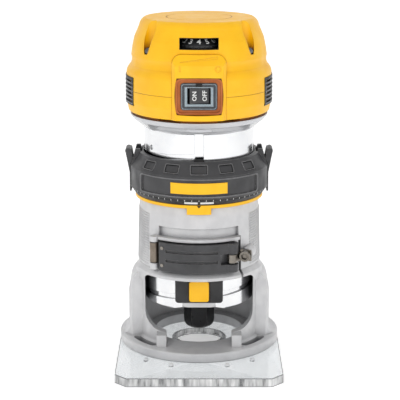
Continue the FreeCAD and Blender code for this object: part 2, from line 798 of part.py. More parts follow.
def ball_bearing(outer, inner, low, high):
    """Deep groove ball bearing with recessed shields, as one turned ring."""
    third = (outer - inner) / 3.0
    return turned([
        (inner, low + 0.3),
        (inner + 0.3, low),
        (inner + third, low),
        (inner + third, low + 0.5),
        (outer - third, low + 0.5),
        (outer - third, low),
        (outer - 0.3, low),
        (outer, low + 0.3),
        (outer, high - 0.3),
        (outer - 0.3, high),
        (outer - third, high),
        (outer - third, high - 0.5),
        (inner + third, high - 0.5),
        (inner + third, high),
        (inner + 0.3, high),
        (inner, high - 0.3),
    ])


def led_boards():
    """Two small round lamp boards above the lenses."""
    boards = []
    for angle in (200.0, 340.0):
        spot = polar(24.5, angle)
        boards.append(disc(3.1, 37.2, 38.2, spot.x, spot.y))
    return group(boards)


def led_lenses():
    """Two clear lamp lenses in the underside of the motor."""
    lenses = []
    for angle in (200.0, 340.0):
        spot = polar(24.5, angle)
        lens = disc(3.15, TUBE_LOW, 37.1, spot.x, spot.y)
        rim = [e for e in lens.Edges if abs(e.BoundBox.ZMax - TUBE_LOW) < 1e-6]
        lenses.append(lens.makeFillet(1.2, rim))
    return group(lenses)


# ---- spindle lock ---------------------------------------------------------
def lock_frame():
    """Black insert on the flat of the can around the lock button."""
    frame = box(-14.85, 14.85, -31.0, -FLAT_Y - 0.05, 37.9, 54.0)
    corners = [e for e in frame.Edges if abs(e.BoundBox.YLength - 0.75) < 1e-6]
    frame = frame.makeFillet(2.0, corners)
    return frame.cut(box(-6.5, 6.5, -40.0, -20.0, 39.0, 52.8))


def lock_button():
    """Yellow spindle lock button with rounded corners."""
    button = box(-6.15, 6.15, -33.4, -30.4, 39.35, 52.45)
    corners = [e for e in button.Edges if abs(e.BoundBox.YLength - 3.0) < 1e-6]
    button = button.makeFillet(1.6, corners)
    button = button.common(disc(34.1, 30, 60))
    return button.cut(rod(2.51, V(0, -32.0, LOCK_Z), V(0, -20.0, LOCK_Z)))


def lock_pin():
    """Steel pin pressed into the lock button."""
    pin = rod(2.5, V(0, -32.0, LOCK_Z), V(0, -9.0, LOCK_Z))
    return pin.makeChamfer(0.5, [e for e in pin.Edges if abs(e.BoundBox.YMax + 9.0) < 1e-3])


def lock_spring():
    """Return spring of the lock button, coiled round the pin."""
    return coil(3.4, 0.3, V(0, -30.35, LOCK_Z), V(0, -26.25, LOCK_Z), 3)


# ---- spindle and cutter clamp ---------------------------------------------
def spindle():
    """Armature shaft with the bored spindle nose and the lock cross holes."""
    shaft = turned([
        (0, 33.0),
        (4.75, 33.0),
        (4.75, NOSE_LOW + 0.9),
        (5.4, NOSE_LOW + 0.2),
        (5.4, NOSE_LOW),
        (NOSE_R - 0.4, NOSE_LOW),
        (NOSE_R, NOSE_LOW + 0.4),
        (NOSE_R, 35.5),
        (SPINDLE_R - 0.02, 36.5),
        (SPINDLE_R - 0.02, 66.0),
        (9.5, 67.2),
        (9.5, 67.6),
        (SHAFT_R - 0.02, 67.6),
        (SHAFT_R - 0.02, 150.0),
        (SHAFT_R - 0.8, 150.8),
        (0, 150.8),
    ])
    shaft = shaft.cut(rod(2.7, V(0, -20, LOCK_Z), V(0, 20, LOCK_Z)))
    return shaft.cut(rod(2.7, V(-20, 0, LOCK_Z), V(20, 0, LOCK_Z)))


def collet():
    """Slit spring collet for a quarter inch shank."""
    body = turned([
        (SHANK_R, COLLET_LOW),
        (4.7, COLLET_LOW),
        (5.6, 15.6),
        (5.6, 16.4),
        (4.55, 17.8),
        (4.55, COLLET_HIGH - 0.6),
        (4.1, COLLET_HIGH),
        (SHANK_R, COLLET_HIGH),
    ])
    for step in range(3):
        slit = box(2.0, 9.0, -0.35, 0.35, COLLET_LOW - 1, COLLET_HIGH - 4.0)
        body = body.cut(turned_about(slit, 60.0 + 120.0 * step))
    return body


def collet_nut():
    """Hexagonal collet nut with a rounded lower edge."""
    nut = hexagon(NUT_FLATS, NUT_LOW, NUT_HIGH)
    nut = nut.common(turned([
        (0, NUT_LOW),
        (6.6, NUT_LOW),
        ((8.6, 14.0), (9.6, 16.8)),
        (9.9, 18.0),
        (9.9, NUT_HIGH - 1.0),
        (9.0, NUT_HIGH),
        (0, NUT_HIGH),
    ]))
    hollow = turned([
        (0, NUT_LOW - 1),
        (4.2, NUT_LOW - 1),
        (4.2, 13.9),
        (5.75, 14.5),
        (5.75, 16.9),
        (NOSE_R + 0.06, 16.9),
        (NOSE_R + 0.06, NUT_HIGH + 1),
        (0, NUT_HIGH + 1),
    ])
    return nut.cut(hollow)


# ---- armature and field ---------------------------------------------------
def cooling_fan():
    """Fan on the shaft below the armature."""
    fan = tube(27.0, SHAFT_R, 69.4, 70.9)
    fan = fan.fuse(tube(8.0, SHAFT_R, 69.0, 79.0))
    for step in range(11):
        blade = box(9.5, 26.6, -0.7, 0.7, 70.0, 79.0)
        blade.rotate(V(9.5, 0, 0), Z_DIR, 18.0)
        blade = blade.common(disc(26.8, 0, 100))
        fan = fan.fuse(turned_about(blade, 360.0 / 11 * step))
    return fan


def armature_stack():
    """Slotted laminated core of the armature."""
    core = tube(17.4, SHAFT_R, 86.0, 121.0)
    for step in range(12):
        slot = box(12.0, 20.0, -1.2, 1.2, 80.0, 130.0)
        core = core.cut(turned_about(slot, 30.0 * step))
    return core


def armature_windings():
    """End turns of the armature, wound at both ends of the core."""
    low = turned([(4.1, 81.4), (10.5, 81.0), (15.4, 82.6), (16.0, 85.9), (4.1, 85.9)])
    high = turned([(4.1, 121.1), (16.0, 121.1), (15.2, 124.2), (10.5, 125.9), (4.1, 125.6)])
    return group([low, high])


def commutator():
    """Copper segments on the shaft with a slot between each pair."""
    body = tube(11.0, SHAFT_R, 127.0, 138.0)
    for step in range(24):
        slot = box(10.3, 12.0, -0.2, 0.2, 126.0, 139.0)
        body = body.cut(turned_about(slot, 15.0 * step))
    return body


def field_stack():
    """Laminated field core with two pole shoes."""
    core = tube(31.85, 26.0, 84.0, 123.0)
    for start in (-52.0, 128.0):
        core = core.fuse(sector(26.2, 18.1, 84.0, 123.0, start, start + 104.0))
    return core


def field_coils():
    """Two field windings between the pole shoes."""
    coils = []
    for start in (54.5, 234.5):
        coils.append(sector(25.6, 18.9, 80.6, 126.2, start, start + 71.0))
    return group(coils)


def brush_bridge():
    """Plastic bridge that carries the upper bearing and the two brush boxes."""
    bridge = disc(31.7, 139.4, 142.2)
    bridge = bridge.fuse(tube(14.0, 11.02, 141.0, 149.5))
    bridge = bridge.fuse(disc(32.6, 142.05, 143.6).cut(disc(24.0, 141, 144)))
    for side in (-1, 1):
        xs = sorted((side * 13.0, side * 29.6))
        bridge = bridge.fuse(box(xs[0], xs[1], -6.2, 6.2, 127.0, 140.0))
        ys = sorted((side * 12.0, side * 40.0))
        bridge = bridge.cut(box(ys[0], ys[1], -4.05, 4.05, 128.45, 136.55))
    bridge = bridge.cut(disc(6.0, 130, 145))
    for start in (40.0, 220.0):
        bridge = bridge.cut(sector(23.0, 16.0, 130.0, 145.0, start, start + 100.0))
    return bridge


def brush_holders():
    """Two square brass brush boxes with closed outer ends."""
    boxes = []
    for side in (-1, 1):
        xs = sorted((side * 12.2, side * 29.4))
        inner = sorted((side * 11.0, side * 28.6))
        holder = box(xs[0], xs[1], -4.0, 4.0, 128.5, 136.5)
        boxes.append(holder.cut(box(inner[0], inner[1], -3.1, 3.1, 129.4, 135.6)))
    return group(boxes)


def brushes():
    """Two carbon brushes on the commutator."""
    blocks = []
    for side in (-1, 1):
        xs = sorted((side * 10.0, side * 21.5))
        block = box(xs[0], xs[1], -3.0, 3.0, 129.5, 135.5)
        blocks.append(block.cut(disc(11.05, 120, 140)))
    return group(blocks)


def brush_springs():
    """Springs behind the two carbon brushes."""
    left = coil(2.0, 0.3, V(-21.6, 0, 132.5), V(-28.5, 0, 132.5), 5)
    right = coil(2.0, 0.3, V(21.6, 0, 132.5), V(28.5, 0, 132.5), 5)
    return group([left, right])


# ---- yellow housing -------------------------------------------------------
def panel_outline(grow, low, high):
    """Front view outline of the raised switch panel."""
    half = PANEL_HALF + grow
    corner = 6.0
    turn = corner * 0.293
    top = high + grow
    return [
        (-half, low - grow),
        (-half, top - corner),
        ((-half + turn, top - turn), (-half + corner, top)),
        (half - corner, top),
        ((half - turn, top - turn), (half, top - corner)),
        (half, low - grow),
    ]


def corner_spots():
    """The four screw positions of the housing."""
    spots = []
    for x_side in (-1, 1):
        for y_side in (-1, 1):
            spots.append((x_side * SCREW_X, y_side * SCREW_Y))
    return spots


def grille_recess():
    """Shallow recesses at both sides for the intake grilles."""
    right = sector(60.0, 43.9, GRILLE_LOW - 0.1, GRILLE_HIGH + 0.1, -28.2, 28.2)
    left = sector(60.0, 43.9, GRILLE_LOW - 0.1, GRILLE_HIGH + 0.1, 151.8, 208.2)
    return right.fuse(left)


def intake_ports():
    """Air ports behind the grilles."""
    ports = []
    for start in (-24.0, 3.0, 156.0, 183.0):
        ports.append(sector(60.0, 36.0, 163.0, 176.0, start, start + 21.0))
    return ports


def lower_collar():
    """Lower part of the yellow housing, spigotted into the can's flare."""
    collar = turned([
        (36.5, 151.6),
        (39.7, 151.6),
        (39.7, COLLAR_LOW),
        (43.0, COLLAR_LOW),
        ((43.6, 155.8), (43.9, 156.5)),
        (HOUSING_R, 162.5),
        (HOUSING_R, PART_LINE - 0.15),
        (42.4, PART_LINE - 0.15),
        (42.4, 159.5),
        (40.5, 157.3),
        (36.5, 157.3),
    ])
    for x, y in corner_spots():
        post = disc(4.4, 157.0, PART_LINE - 0.15, x, y)
        collar = collar.fuse(post)
    for start in (232.0, 286.0, 52.0, 106.0):
        collar = collar.cut(sector(60.0, 36.0, 153.9, 155.5, start, start + 22.0))
    collar = collar.cut(grille_recess())
    for port in intake_ports():
        collar = collar.cut(port)
    collar = collar.cut(plate_xz(panel_outline(0.05, PANEL_LOW, PANEL_HIGH), PANEL_BACK, 70.0))
    for x, y in corner_spots():
        collar = collar.cut(disc(1.92, 159.5, 172.0, x, y))
    return collar


def cap_shell():
    """Hollow domed cap with its four screw bosses and two board posts."""
    outer = turned([
        (0, PART_LINE),
        (HOUSING_R, PART_LINE),
        (45.0, 179.3),
        ((44.3, 182.0), (42.4, 184.4)),
        ((41.8, 186.0), (41.9, 190.0)),
        ((41.0, 196.3), (39.8, 201.4)),
        (36.9, 208.2),
        ((35.8, 210.9), (33.6, CAP_TOP)),
        (0, CAP_TOP),
    ])
    hollow = turned([
        (0, PART_LINE - 1),
        (42.5, PART_LINE - 1),
        (42.4, 179.0),
        (39.2, 185.0),
        (39.1, 190.0),
        (37.0, 201.0),
        (33.8, 208.0),
        (32.0, 210.2),
        (0, 210.2),
    ])
    for x, y in corner_spots():
        hollow = hollow.cut(disc(6.2, PART_LINE - 2, CAP_TOP, x, y))
    for side in (-1, 1):
        hollow = hollow.cut(disc(3.0, 191.8, CAP_TOP, side * 18.0, 10.0))
    return outer.cut(hollow)


def top_cap():
    """Upper part of the yellow housing with dial window, screw wells and cord inlet."""
    cap = cap_shell()
    for x, y in corner_spots():
        cap = cap.cut(disc(WELL_R, WELL_FLOOR, CAP_TOP + 1, x, y))
        cap = cap.cut(disc(1.95, PART_LINE - 2, WELL_FLOOR + 1, x, y))
    cap = cap.cut(tube(20.4, 19.9, CAP_TOP - 0.5, CAP_TOP + 1))
    cap = cap.cut(box(-11.6, 11.6, -50.0, -30.0, 197.6, 204.3))
    cap = cap.cut(grille_recess())
    for port in intake_ports():
        cap = cap.cut(port)
    cap = cap.cut(plate_xz(panel_outline(0.05, PANEL_LOW, PANEL_HIGH), PANEL_BACK, 70.0))
    cap = cap.cut(rod(7.55, V(0, 30, GLAND_Z), V(0, 50, GLAND_Z)))
    return cap


def cap_screws():
    """Four long screws in the wells of the cap."""
    screws = []
    for x, y in corner_spots():
        screw = disc(1.9, 160.0, WELL_FLOOR + 1.5, x, y)
        screw = screw.fuse(disc(3.5, WELL_FLOOR + 0.02, WELL_FLOOR + 2.6, x, y))
        screw = screw.cut(disc(1.6, WELL_FLOOR + 1.2, WELL_FLOOR + 5, x, y))
        screws.append(screw.Solids[0])
    return group(screws)


def intake_grille(side):
    """Curved louvred grille plate at one side of the housing."""
    plate = sector(45.5, 43.95, GRILLE_LOW, GRILLE_HIGH, -28.0, 28.0)
    for step in range(6):
        low = 162.6 + 2.5 * step
        plate = plate.cut(sector(50.0, 44.9, low, low + 1.2, -25.5, 25.5))
        for start in (-24.0, -7.5, 9.0):
            plate = plate.cut(sector(50.0, 40.0, low + 0.1, low + 1.1, start, start + 15.0))
    return turned_about(plate, 0.0 if side > 0 else 180.0)


def panel_crown(inset):
    """Rounded front envelope of the switch panel, drawn in by a small distance."""
    face = PANEL_FACE - inset
    return turned([(0, 140), (face, 140), (face, 189), (face - 4.0, 196), (0, 196)])


def panel_marks():
    """On, off and speed marks above the switch, run through the panel."""
    bar = box(-11.7, -10.8, -60.0, -20.0, 185.4, 188.6)
    ring = rod(1.9, V(11.2, -60, 187.0), V(11.2, -20, 187.0))
    ring = ring.cut(rod(1.2, V(11.2, -61, 187.0), V(11.2, -19, 187.0)))
    wedge = plate_xz([(-11.0, 190.6), (11.0, 192.6), (11.0, 194.0), (-11.0, 191.0)], 20.0, 60.0)
    return group([bar, ring, wedge])


def switch_panel():
    """Raised yellow panel with the sunk field round the switch."""
    panel = plate_xz(panel_outline(0.0, PANEL_LOW, PANEL_HIGH), PANEL_BACK, PANEL_FACE)
    panel = panel.common(panel_crown(0.0))
    soft = [(-16.2, -30.0), (-16.2, -42.6), (-13.9, -45.3), (-13.9, -60.0)]
    panel = panel.common(plate_xy(soft + [(-x, y) for x, y in reversed(soft)], 140.0, 200.0))
    for mark in panel_marks().Solids:
        panel = panel.cut(mark.cut(panel_crown(0.22)))
    sunk = plate_xz([
        (-13.2, SWITCH_Z - 10.9),
        ((0, SWITCH_Z - 11.3), (13.2, SWITCH_Z - 10.9)),
        ((14.4, SWITCH_Z), (13.2, SWITCH_Z + 10.9)),
        ((0, SWITCH_Z + 11.3), (-13.2, SWITCH_Z + 10.9)),
        ((-14.4, SWITCH_Z), (-13.2, SWITCH_Z - 10.9)),
    ], 43.6, 60.0)
    panel = panel.cut(sunk)
    panel = panel.cut(box(-9.9, 9.9, -60.0, -30.0, SWITCH_Z - 7.1, SWITCH_Z + 7.1))
    return panel


def switch_bezel():
    """Dark frame of the switch on the sunk field."""
    frame = box(-10.8, 10.8, -45.0, -43.62, SWITCH_Z - 8.0, SWITCH_Z + 8.0)
    corners = [e for e in frame.Edges if abs(e.BoundBox.YLength - 1.38) < 1e-6]
    frame = frame.makeFillet(1.6, corners)
    skirt = box(-9.8, 9.8, -43.7, -37.6, SWITCH_Z - 7.0, SWITCH_Z + 7.0)
    frame = frame.fuse(skirt)
    return frame.cut(box(-8.6, 8.6, -60.0, -30.0, SWITCH_Z - 5.9, SWITCH_Z + 5.9))


def switch_boot():
    """Clear dust boot whose wide lips frame the rocker at both sides and below."""
    boot = box(-8.5, 8.5, -45.3, -43.9, SWITCH_Z - 5.8, SWITCH_Z + 5.8)
    return boot.cut(box(-6.95, 6.95, -60.0, -30.0, SWITCH_Z - 4.45, SWITCH_Z + 5.3))


def rocker():
    """Power rocker on an upright axis, left side out at rest."""
    return plate_xy([
        (-6.2, -39.2),
        (-6.2, -41.5),
        (-5.4, -45.4),
        (-4.9, -45.8),
        (0.0, -44.3),
        (5.6, -44.0),
        (6.3, -43.5),
        (6.2, -39.2),
        (0.0, -38.4),
    ], SWITCH_Z - 4.15, SWITCH_Z + 4.95)


def switch_body():
    """Switch case behind the panel."""
    case = box(-8.5, 8.5, -37.3, -24.0, SWITCH_Z - 6.5, SWITCH_Z + 6.5)
    posts = box(-1.0, 1.0, -38.2, -37.2, SWITCH_Z - 3.0, SWITCH_Z + 3.0)
    blades = []
    for x in (-5.0, 0.0, 5.0):
        blades.append(box(x - 2.0, x + 2.0, -24.2, -18.0, SWITCH_Z - 0.4, SWITCH_Z + 0.4))
    body = case.fuse(posts)
    for blade in blades:
        body = body.fuse(blade)
    return body


def speed_dial():
    """Speed thumbwheel with a ribbed rim, a sloped face for its numbers and its shaft."""
    wheel = turned([
        (0, DIAL_LOW),
        (DIAL_R - 0.5, DIAL_LOW),
        (DIAL_R, DIAL_LOW + 0.5),
        (DIAL_R, DIAL_LOW + 1.6),
        (DIAL_R - 4.6, DIAL_HIGH),
        (0, DIAL_HIGH),
    ])
    for step in range(20):
        turn = math.radians(18.0 * step)
        x = (DIAL_R + 0.35) * math.cos(turn)
        y = (DIAL_R + 0.35) * math.sin(turn)
        wheel = wheel.cut(disc(0.8, 190, DIAL_LOW + 1.5, x, y))
    wheel.translate(V(0, DIAL_Y, 0))
    return wheel.fuse(disc(2.0, 193.0, DIAL_LOW + 0.5, 0, DIAL_Y))


def control_board():
    """Round speed control board with the speed potentiometer soldered to it."""
    board = disc(28.0, 190.1, 191.7)
    board = board.cut(box(-12.0, 12.0, -40.0, -36.0, 180, 200))
    for side in (-1, 1):
        board = board.fuse(tube(5.0, 2.0, 180.0, 190.2, side * 12.0, 12.0))
    board = board.fuse(box(-6.0, 6.0, -6.0, 4.0, 186.0, 190.2))
    board = board.fuse(box(-7.5, 7.5, DIAL_Y - 6.5, DIAL_Y + 7.5, 191.6, 196.8))
    return board.cut(disc(2.04, 192.9, 200, 0, DIAL_Y))


def cord_gland():
    """Cord inlet: flanged sleeve at the rear of the cap."""
    gland = rod(7.5, V(0, 37.5, GLAND_Z), V(0, 50.4, GLAND_Z))
    for y in (45.0, 46.9, 48.8):
        ring = rod(9.0, V(0, y, GLAND_Z), V(0, y + 1.0, GLAND_Z))
        gland = gland.cut(ring.cut(rod(6.6, V(0, y - 1, GLAND_Z), V(0, y + 2, GLAND_Z))))
    flange = rod(8.5, V(0, 42.9, GLAND_Z), V(0, 43.9, GLAND_Z))
    return gland.fuse(flange).cut(rod(CORD_R, V(0, 30, GLAND_Z), V(0, 60, GLAND_Z)))


def build():
    """Make every node and write it to its own file."""
    os.makedirs("parts", exist_ok=True)
    save("sub_base", sub_base())
    save("sub_base_screws", sub_base_screws())
    save("sub_base_studs", sub_base_studs())
    save("base_casting", base_casting())
    save("guide_pins", guide_pins())
    save("pointer_ring", pointer_ring())
    save("clamp_anchor_pin", clamp_anchor_pin())
    save("clamp_strap", clamp_strap())
    save("eye_link", eye_link())
    save("tension_screw", tension_screw())
    save("lever_pivot_pin", lever_pivot_pin())
    save("clamp_lever", lever_with_rivet_holes())
    save("lever_rivets", lever_rivets())
    save("depth_ring", depth_ring())
    save("ring_badge", ring_badge())
    save("ring_followers", ring_followers())
    save("scale_ring", scale_ring())
    save("release_tab_left", release_tab(-1))
    save("release_tab_right", release_tab(1))
    save("tab_pins", tab_pins())
    save("tab_spring_left", tab_spring(-1))
    save("tab_spring_right", tab_spring(1))
    save("motor_can", motor_can())
    save("bearing_housing", bearing_housing())
    save("bearing_retainer", bearing_retainer())
    save("retainer_screws", retainer_screws())
    save("lower_bearing", ball_bearing(16.0, SPINDLE_R, 56.05, 65.05))
    save("upper_bearing", ball_bearing(11.0, SHAFT_R, 142.3, 149.3))
    save("led_boards", led_boards())
    save("led_lenses", led_lenses())
    save("lock_frame", lock_frame())
    save("lock_button", lock_button())
    save("lock_pin", lock_pin())
    save("lock_spring", lock_spring())
    save("spindle", spindle())
    save("collet", collet())
    save("collet_nut", collet_nut())
    save("cooling_fan", cooling_fan())
    save("armature_stack", armature_stack())
    save("armature_windings", armature_windings())
    save("commutator", commutator())
    save("field_stack", field_stack())
    save("field_coils", field_coils())
    save("brush_bridge", brush_bridge())
    save("brush_holders", brush_holders())
    save("brushes", brushes())
    save("brush_springs", brush_springs())
    save("lower_collar", lower_collar())
    save("top_cap", top_cap())
    save("cap_screws", cap_screws())
    save("intake_grille_left", intake_grille(-1))
    save("intake_grille_right", intake_grille(1))
    save("switch_panel", switch_panel())
    save("switch_bezel", switch_bezel())
    save("switch_boot", switch_boot())
    save("rocker", rocker())
    save("switch_body", switch_body())
    save("speed_dial", speed_dial())
    save("control_board", control_board())
    save("cord_gland", cord_gland())


build()
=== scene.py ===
"""Trim router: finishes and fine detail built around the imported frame, in metres."""
import json
import logging
import math
from dataclasses import dataclass
from enum import Enum
from typing import Any, Callable, Optional

import bmesh
import bpy
from mathutils import Matrix, Vector

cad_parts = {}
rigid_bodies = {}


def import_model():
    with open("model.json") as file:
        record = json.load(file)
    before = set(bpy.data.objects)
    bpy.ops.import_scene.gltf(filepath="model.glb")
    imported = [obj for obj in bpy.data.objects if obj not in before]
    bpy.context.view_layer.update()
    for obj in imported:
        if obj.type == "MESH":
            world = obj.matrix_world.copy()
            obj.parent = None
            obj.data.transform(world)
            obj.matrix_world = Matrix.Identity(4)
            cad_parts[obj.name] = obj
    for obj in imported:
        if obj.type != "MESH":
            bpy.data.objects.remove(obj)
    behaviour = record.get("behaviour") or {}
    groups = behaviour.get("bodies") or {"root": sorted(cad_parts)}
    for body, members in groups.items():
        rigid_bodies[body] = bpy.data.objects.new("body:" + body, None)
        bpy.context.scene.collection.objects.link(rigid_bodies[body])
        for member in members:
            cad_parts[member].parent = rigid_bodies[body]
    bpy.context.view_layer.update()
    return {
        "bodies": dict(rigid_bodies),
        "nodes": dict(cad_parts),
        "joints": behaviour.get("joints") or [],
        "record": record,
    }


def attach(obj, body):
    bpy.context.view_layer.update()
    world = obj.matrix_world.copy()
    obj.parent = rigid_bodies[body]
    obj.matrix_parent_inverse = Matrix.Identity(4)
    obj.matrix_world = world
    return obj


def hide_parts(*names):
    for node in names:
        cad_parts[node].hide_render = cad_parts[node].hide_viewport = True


LOG = logging.getLogger("trim_router")
MM = 0.001
Node = bpy.types.Node
Tree = bpy.types.NodeTree
Socket = bpy.types.NodeSocket


# ---------------------------------------------------------------------------
# Small tools
# ---------------------------------------------------------------------------
def linear(code: str) -> tuple[float, float, float, float]:
    """Turn an sRGB hex colour into linear RGBA.

    Args:
        code: six hex digits, such as "FDB813".

    Returns:
        Linear red, green, blue and an alpha of one.
    """
    channels = []
    for start in (0, 2, 4):
        value = int(code[start:start + 2], 16) / 255
        channels.append(value / 12.92 if value <= 0.04045 else ((value + 0.055) / 1.055) ** 2.4)
    return channels[0], channels[1], channels[2], 1.0


def add(tree: Tree, kind: str, links: Optional[dict] = None, **settings: Any) -> Node:
    """Add one node with its settings and incoming links.

    Args:
        tree: shader or geometry tree that gets the node.
        kind: node type identifier.
        links: input name or index mapped to a socket to link or a value to set.
        settings: attributes of the node itself.

    Returns:
        The new node.
    """
    node = tree.nodes.new(kind)
    for name, value in settings.items():
        setattr(node, name, value)
    for key, value in (links or {}).items():
        if isinstance(value, bpy.types.NodeSocket):
            tree.links.new(value, node.inputs[key])
        else:
            node.inputs[key].default_value = value
    return node


def ramp(tree: Tree, source: Socket, stops: list[tuple[float, float]]) -> Socket:
    """Map a value through a grey ramp.

    Args:
        tree: shader tree.
        source: value to map.
        stops: pairs of position and grey level.

    Returns:
        The mapped colour socket.
    """
    node = add(tree, "ShaderNodeValToRGB", {"Fac": source})
    elements = node.color_ramp.elements
    while len(elements) < len(stops):
        elements.new(0.5)
    for element, (position, level) in zip(elements, stops):
        element.position = position
        element.color = (level, level, level, 1)
    return node.outputs["Color"]


def math_node(tree: Tree, operation: str, first: Any, second: Any = 0.0) -> Socket:
    """Join two values with one arithmetic step.

    Args:
        tree: shader or geometry tree.
        operation: name of the step, such as "ADD".
        first: socket or number.
        second: socket or number.

    Returns:
        The result socket.
    """
    return add(tree, "ShaderNodeMath", {0: first, 1: second}, operation=operation).outputs[0]


def mix(tree: Tree, factor: Any, first: Any, second: Any) -> Socket:
    """Mix two colours.

    Args:
        tree: shader tree.
        factor: share of the second colour.
        first: socket or colour.
        second: socket or colour.

    Returns:
        The mixed colour socket.
    """
    node = add(tree, "ShaderNodeMix", {0: factor, 6: first, 7: second}, data_type="RGBA")
    return node.outputs[2]


# ---------------------------------------------------------------------------
# Finishes
# ---------------------------------------------------------------------------
@dataclass(frozen=True)
class Finish:
    """A surface: what it is made of and what its making leaves on it.

    Args:
        name: plain name of the real finish.
        tint: main colour, sRGB hex.
        shade: second colour that drifts through the first, sRGB hex.
        rough: mean roughness.
        metal: metallic value.
        grain_mm: width of the moulded or blasted grain.
        bump: strength of the grain.
        drift_mm: size of the slow colour drift.
        edge: brightness added along worn edges.
        edge_mm: width of the rounded, worn edge.
        ior: refractive index of a non-metal.
        coat: clear coat weight.
        spread: how far the roughness varies.
        painted_shade: colour of the painted shade laid into wells, grooves and crevices where walls face each
            other, sRGB hex; empty for none.
        shade_reach_mm: how far apart facing walls may be for that.
    """

    name: str
    tint: str
    shade: str
    rough: float
    metal: float = 0.0
    grain_mm: float = 0.5
    bump: float = 0.15
    drift_mm: float = 14.0
    edge: float = 0.25
    edge_mm: float = 0.35
    ior: float = 1.5
    coat: float = 0.0
    spread: float = 0.12
    painted_shade: str = ""
    shade_reach_mm: float = 7.0

    def colour(self, tree: Tree, place: Socket) -> Socket:
        """Slow drift between the two colours, as in a real moulding or casting."""
        cloud = add(tree, "ShaderNodeTexNoise", {
            "Vector": place, "Scale": 1 / (self.drift_mm * MM), "Detail": 4.0, "Roughness": 0.55})
        return mix(tree, ramp(tree, cloud.outputs["Fac"], [(0.35, 0.0), (0.7, 1.0)]),
                   linear(self.tint), linear(self.shade))

    def relief(self, tree: Tree, place: Socket) -> Socket:
        """Height of the surface grain."""
        grain = add(tree, "ShaderNodeTexNoise", {
            "Vector": place, "Scale": 1 / (self.grain_mm * MM), "Detail": 3.0, "Roughness": 0.6})
        return grain.outputs["Fac"]

    def worn(self, tree: Tree, place: Socket) -> tuple[Socket, Socket]:
        """Rounded normal and a broken mask along the edges.

        Args:
            tree: shader tree.
            place: Object coordinates.

        Returns:
            The rounded normal and the wear mask.
        """
        soft = add(tree, "ShaderNodeBevel", {"Radius": self.edge_mm * MM}, samples=4)
        shape = add(tree, "ShaderNodeNewGeometry")
        dot = add(tree, "ShaderNodeVectorMath", {0: soft.outputs[0], 1: shape.outputs["Normal"]},
                  operation="DOT_PRODUCT")
        line = ramp(tree, dot.outputs["Value"], [(0.80, 1.0), (0.985, 0.0)])
        chips = add(tree, "ShaderNodeTexNoise", {"Vector": place, "Scale": 1 / (1.8 * MM), "Detail": 5.0})
        gaps = ramp(tree, chips.outputs["Fac"], [(0.38, 0.2), (0.62, 1.0)])
        return soft.outputs[0], math_node(tree, "MULTIPLY", line, gaps)

    def deepen(self, tree: Tree, base: Socket) -> Socket:
        """Painted shade: shift the colour toward a darker one where walls face each other closely, from an
        occlusion mask.
        """
        if not self.painted_shade:
            return base
        shut = add(tree, "ShaderNodeAmbientOcclusion", {"Distance": self.shade_reach_mm * MM}, samples=8)
        depth = ramp(tree, shut.outputs["AO"], [(0.22, 1.0), (0.62, 0.0)])
        return mix(tree, depth, base, linear(self.painted_shade))

    def dress(self, tree: Tree, shader: Node, place: Socket) -> None:
        """Set what is special to this finish; the plain finish adds nothing."""

    def surface(self, tree: Tree, shader: Node) -> Socket:
        """Give the shader socket that the material shows."""
        return shader.outputs[0]

    def metallic(self, tree: Tree, place: Socket) -> Any:
        """Metallic value, the same all over unless a finish says otherwise."""
        return self.metal

    def build(self) -> bpy.types.Material:
        """Make the material.

        Returns:
            A node material in Object coordinates.
        """
        material = bpy.data.materials.new(self.name)
        material.use_nodes = True
        tree = material.node_tree
        tree.nodes.clear()
        place = add(tree, "ShaderNodeTexCoord").outputs["Object"]
        normal, broken = self.worn(tree, place)
        # the colour with painted shade in wells and grooves
        base = self.deepen(tree, self.colour(tree, place))
        lift = math_node(tree, "MULTIPLY", broken, self.edge)
        bright = mix(tree, lift, base, (1.0, 0.98, 0.94, 1.0))
        smudge = add(tree, "ShaderNodeTexNoise", {"Vector": place, "Scale": 1 / (7 * MM), "Detail": 6.0})
        rough = add(tree, "ShaderNodeMapRange", {
            "Value": smudge.outputs["Fac"], "From Min": 0.3, "From Max": 0.7,
            "To Min": max(self.rough - self.spread, 0.03), "To Max": min(self.rough + self.spread, 1.0)})
        bump = add(tree, "ShaderNodeBump", {
            "Height": self.relief(tree, place), "Normal": normal,
            "Strength": self.bump, "Distance": self.grain_mm * MM * 0.35})
        shader = add(tree, "ShaderNodeBsdfPrincipled", {
            "Base Color": bright, "Roughness": rough.outputs["Result"], "Normal": bump.outputs["Normal"],
            "Metallic": self.metallic(tree, place), "Coat Weight": self.coat})
        if self.metal == 0.0:
            shader.inputs["IOR"].default_value = self.ior
        self.dress(tree, shader, place)
        out = add(tree, "ShaderNodeOutputMaterial")
        tree.links.new(self.surface(tree, shader), out.inputs["Surface"])
        return material


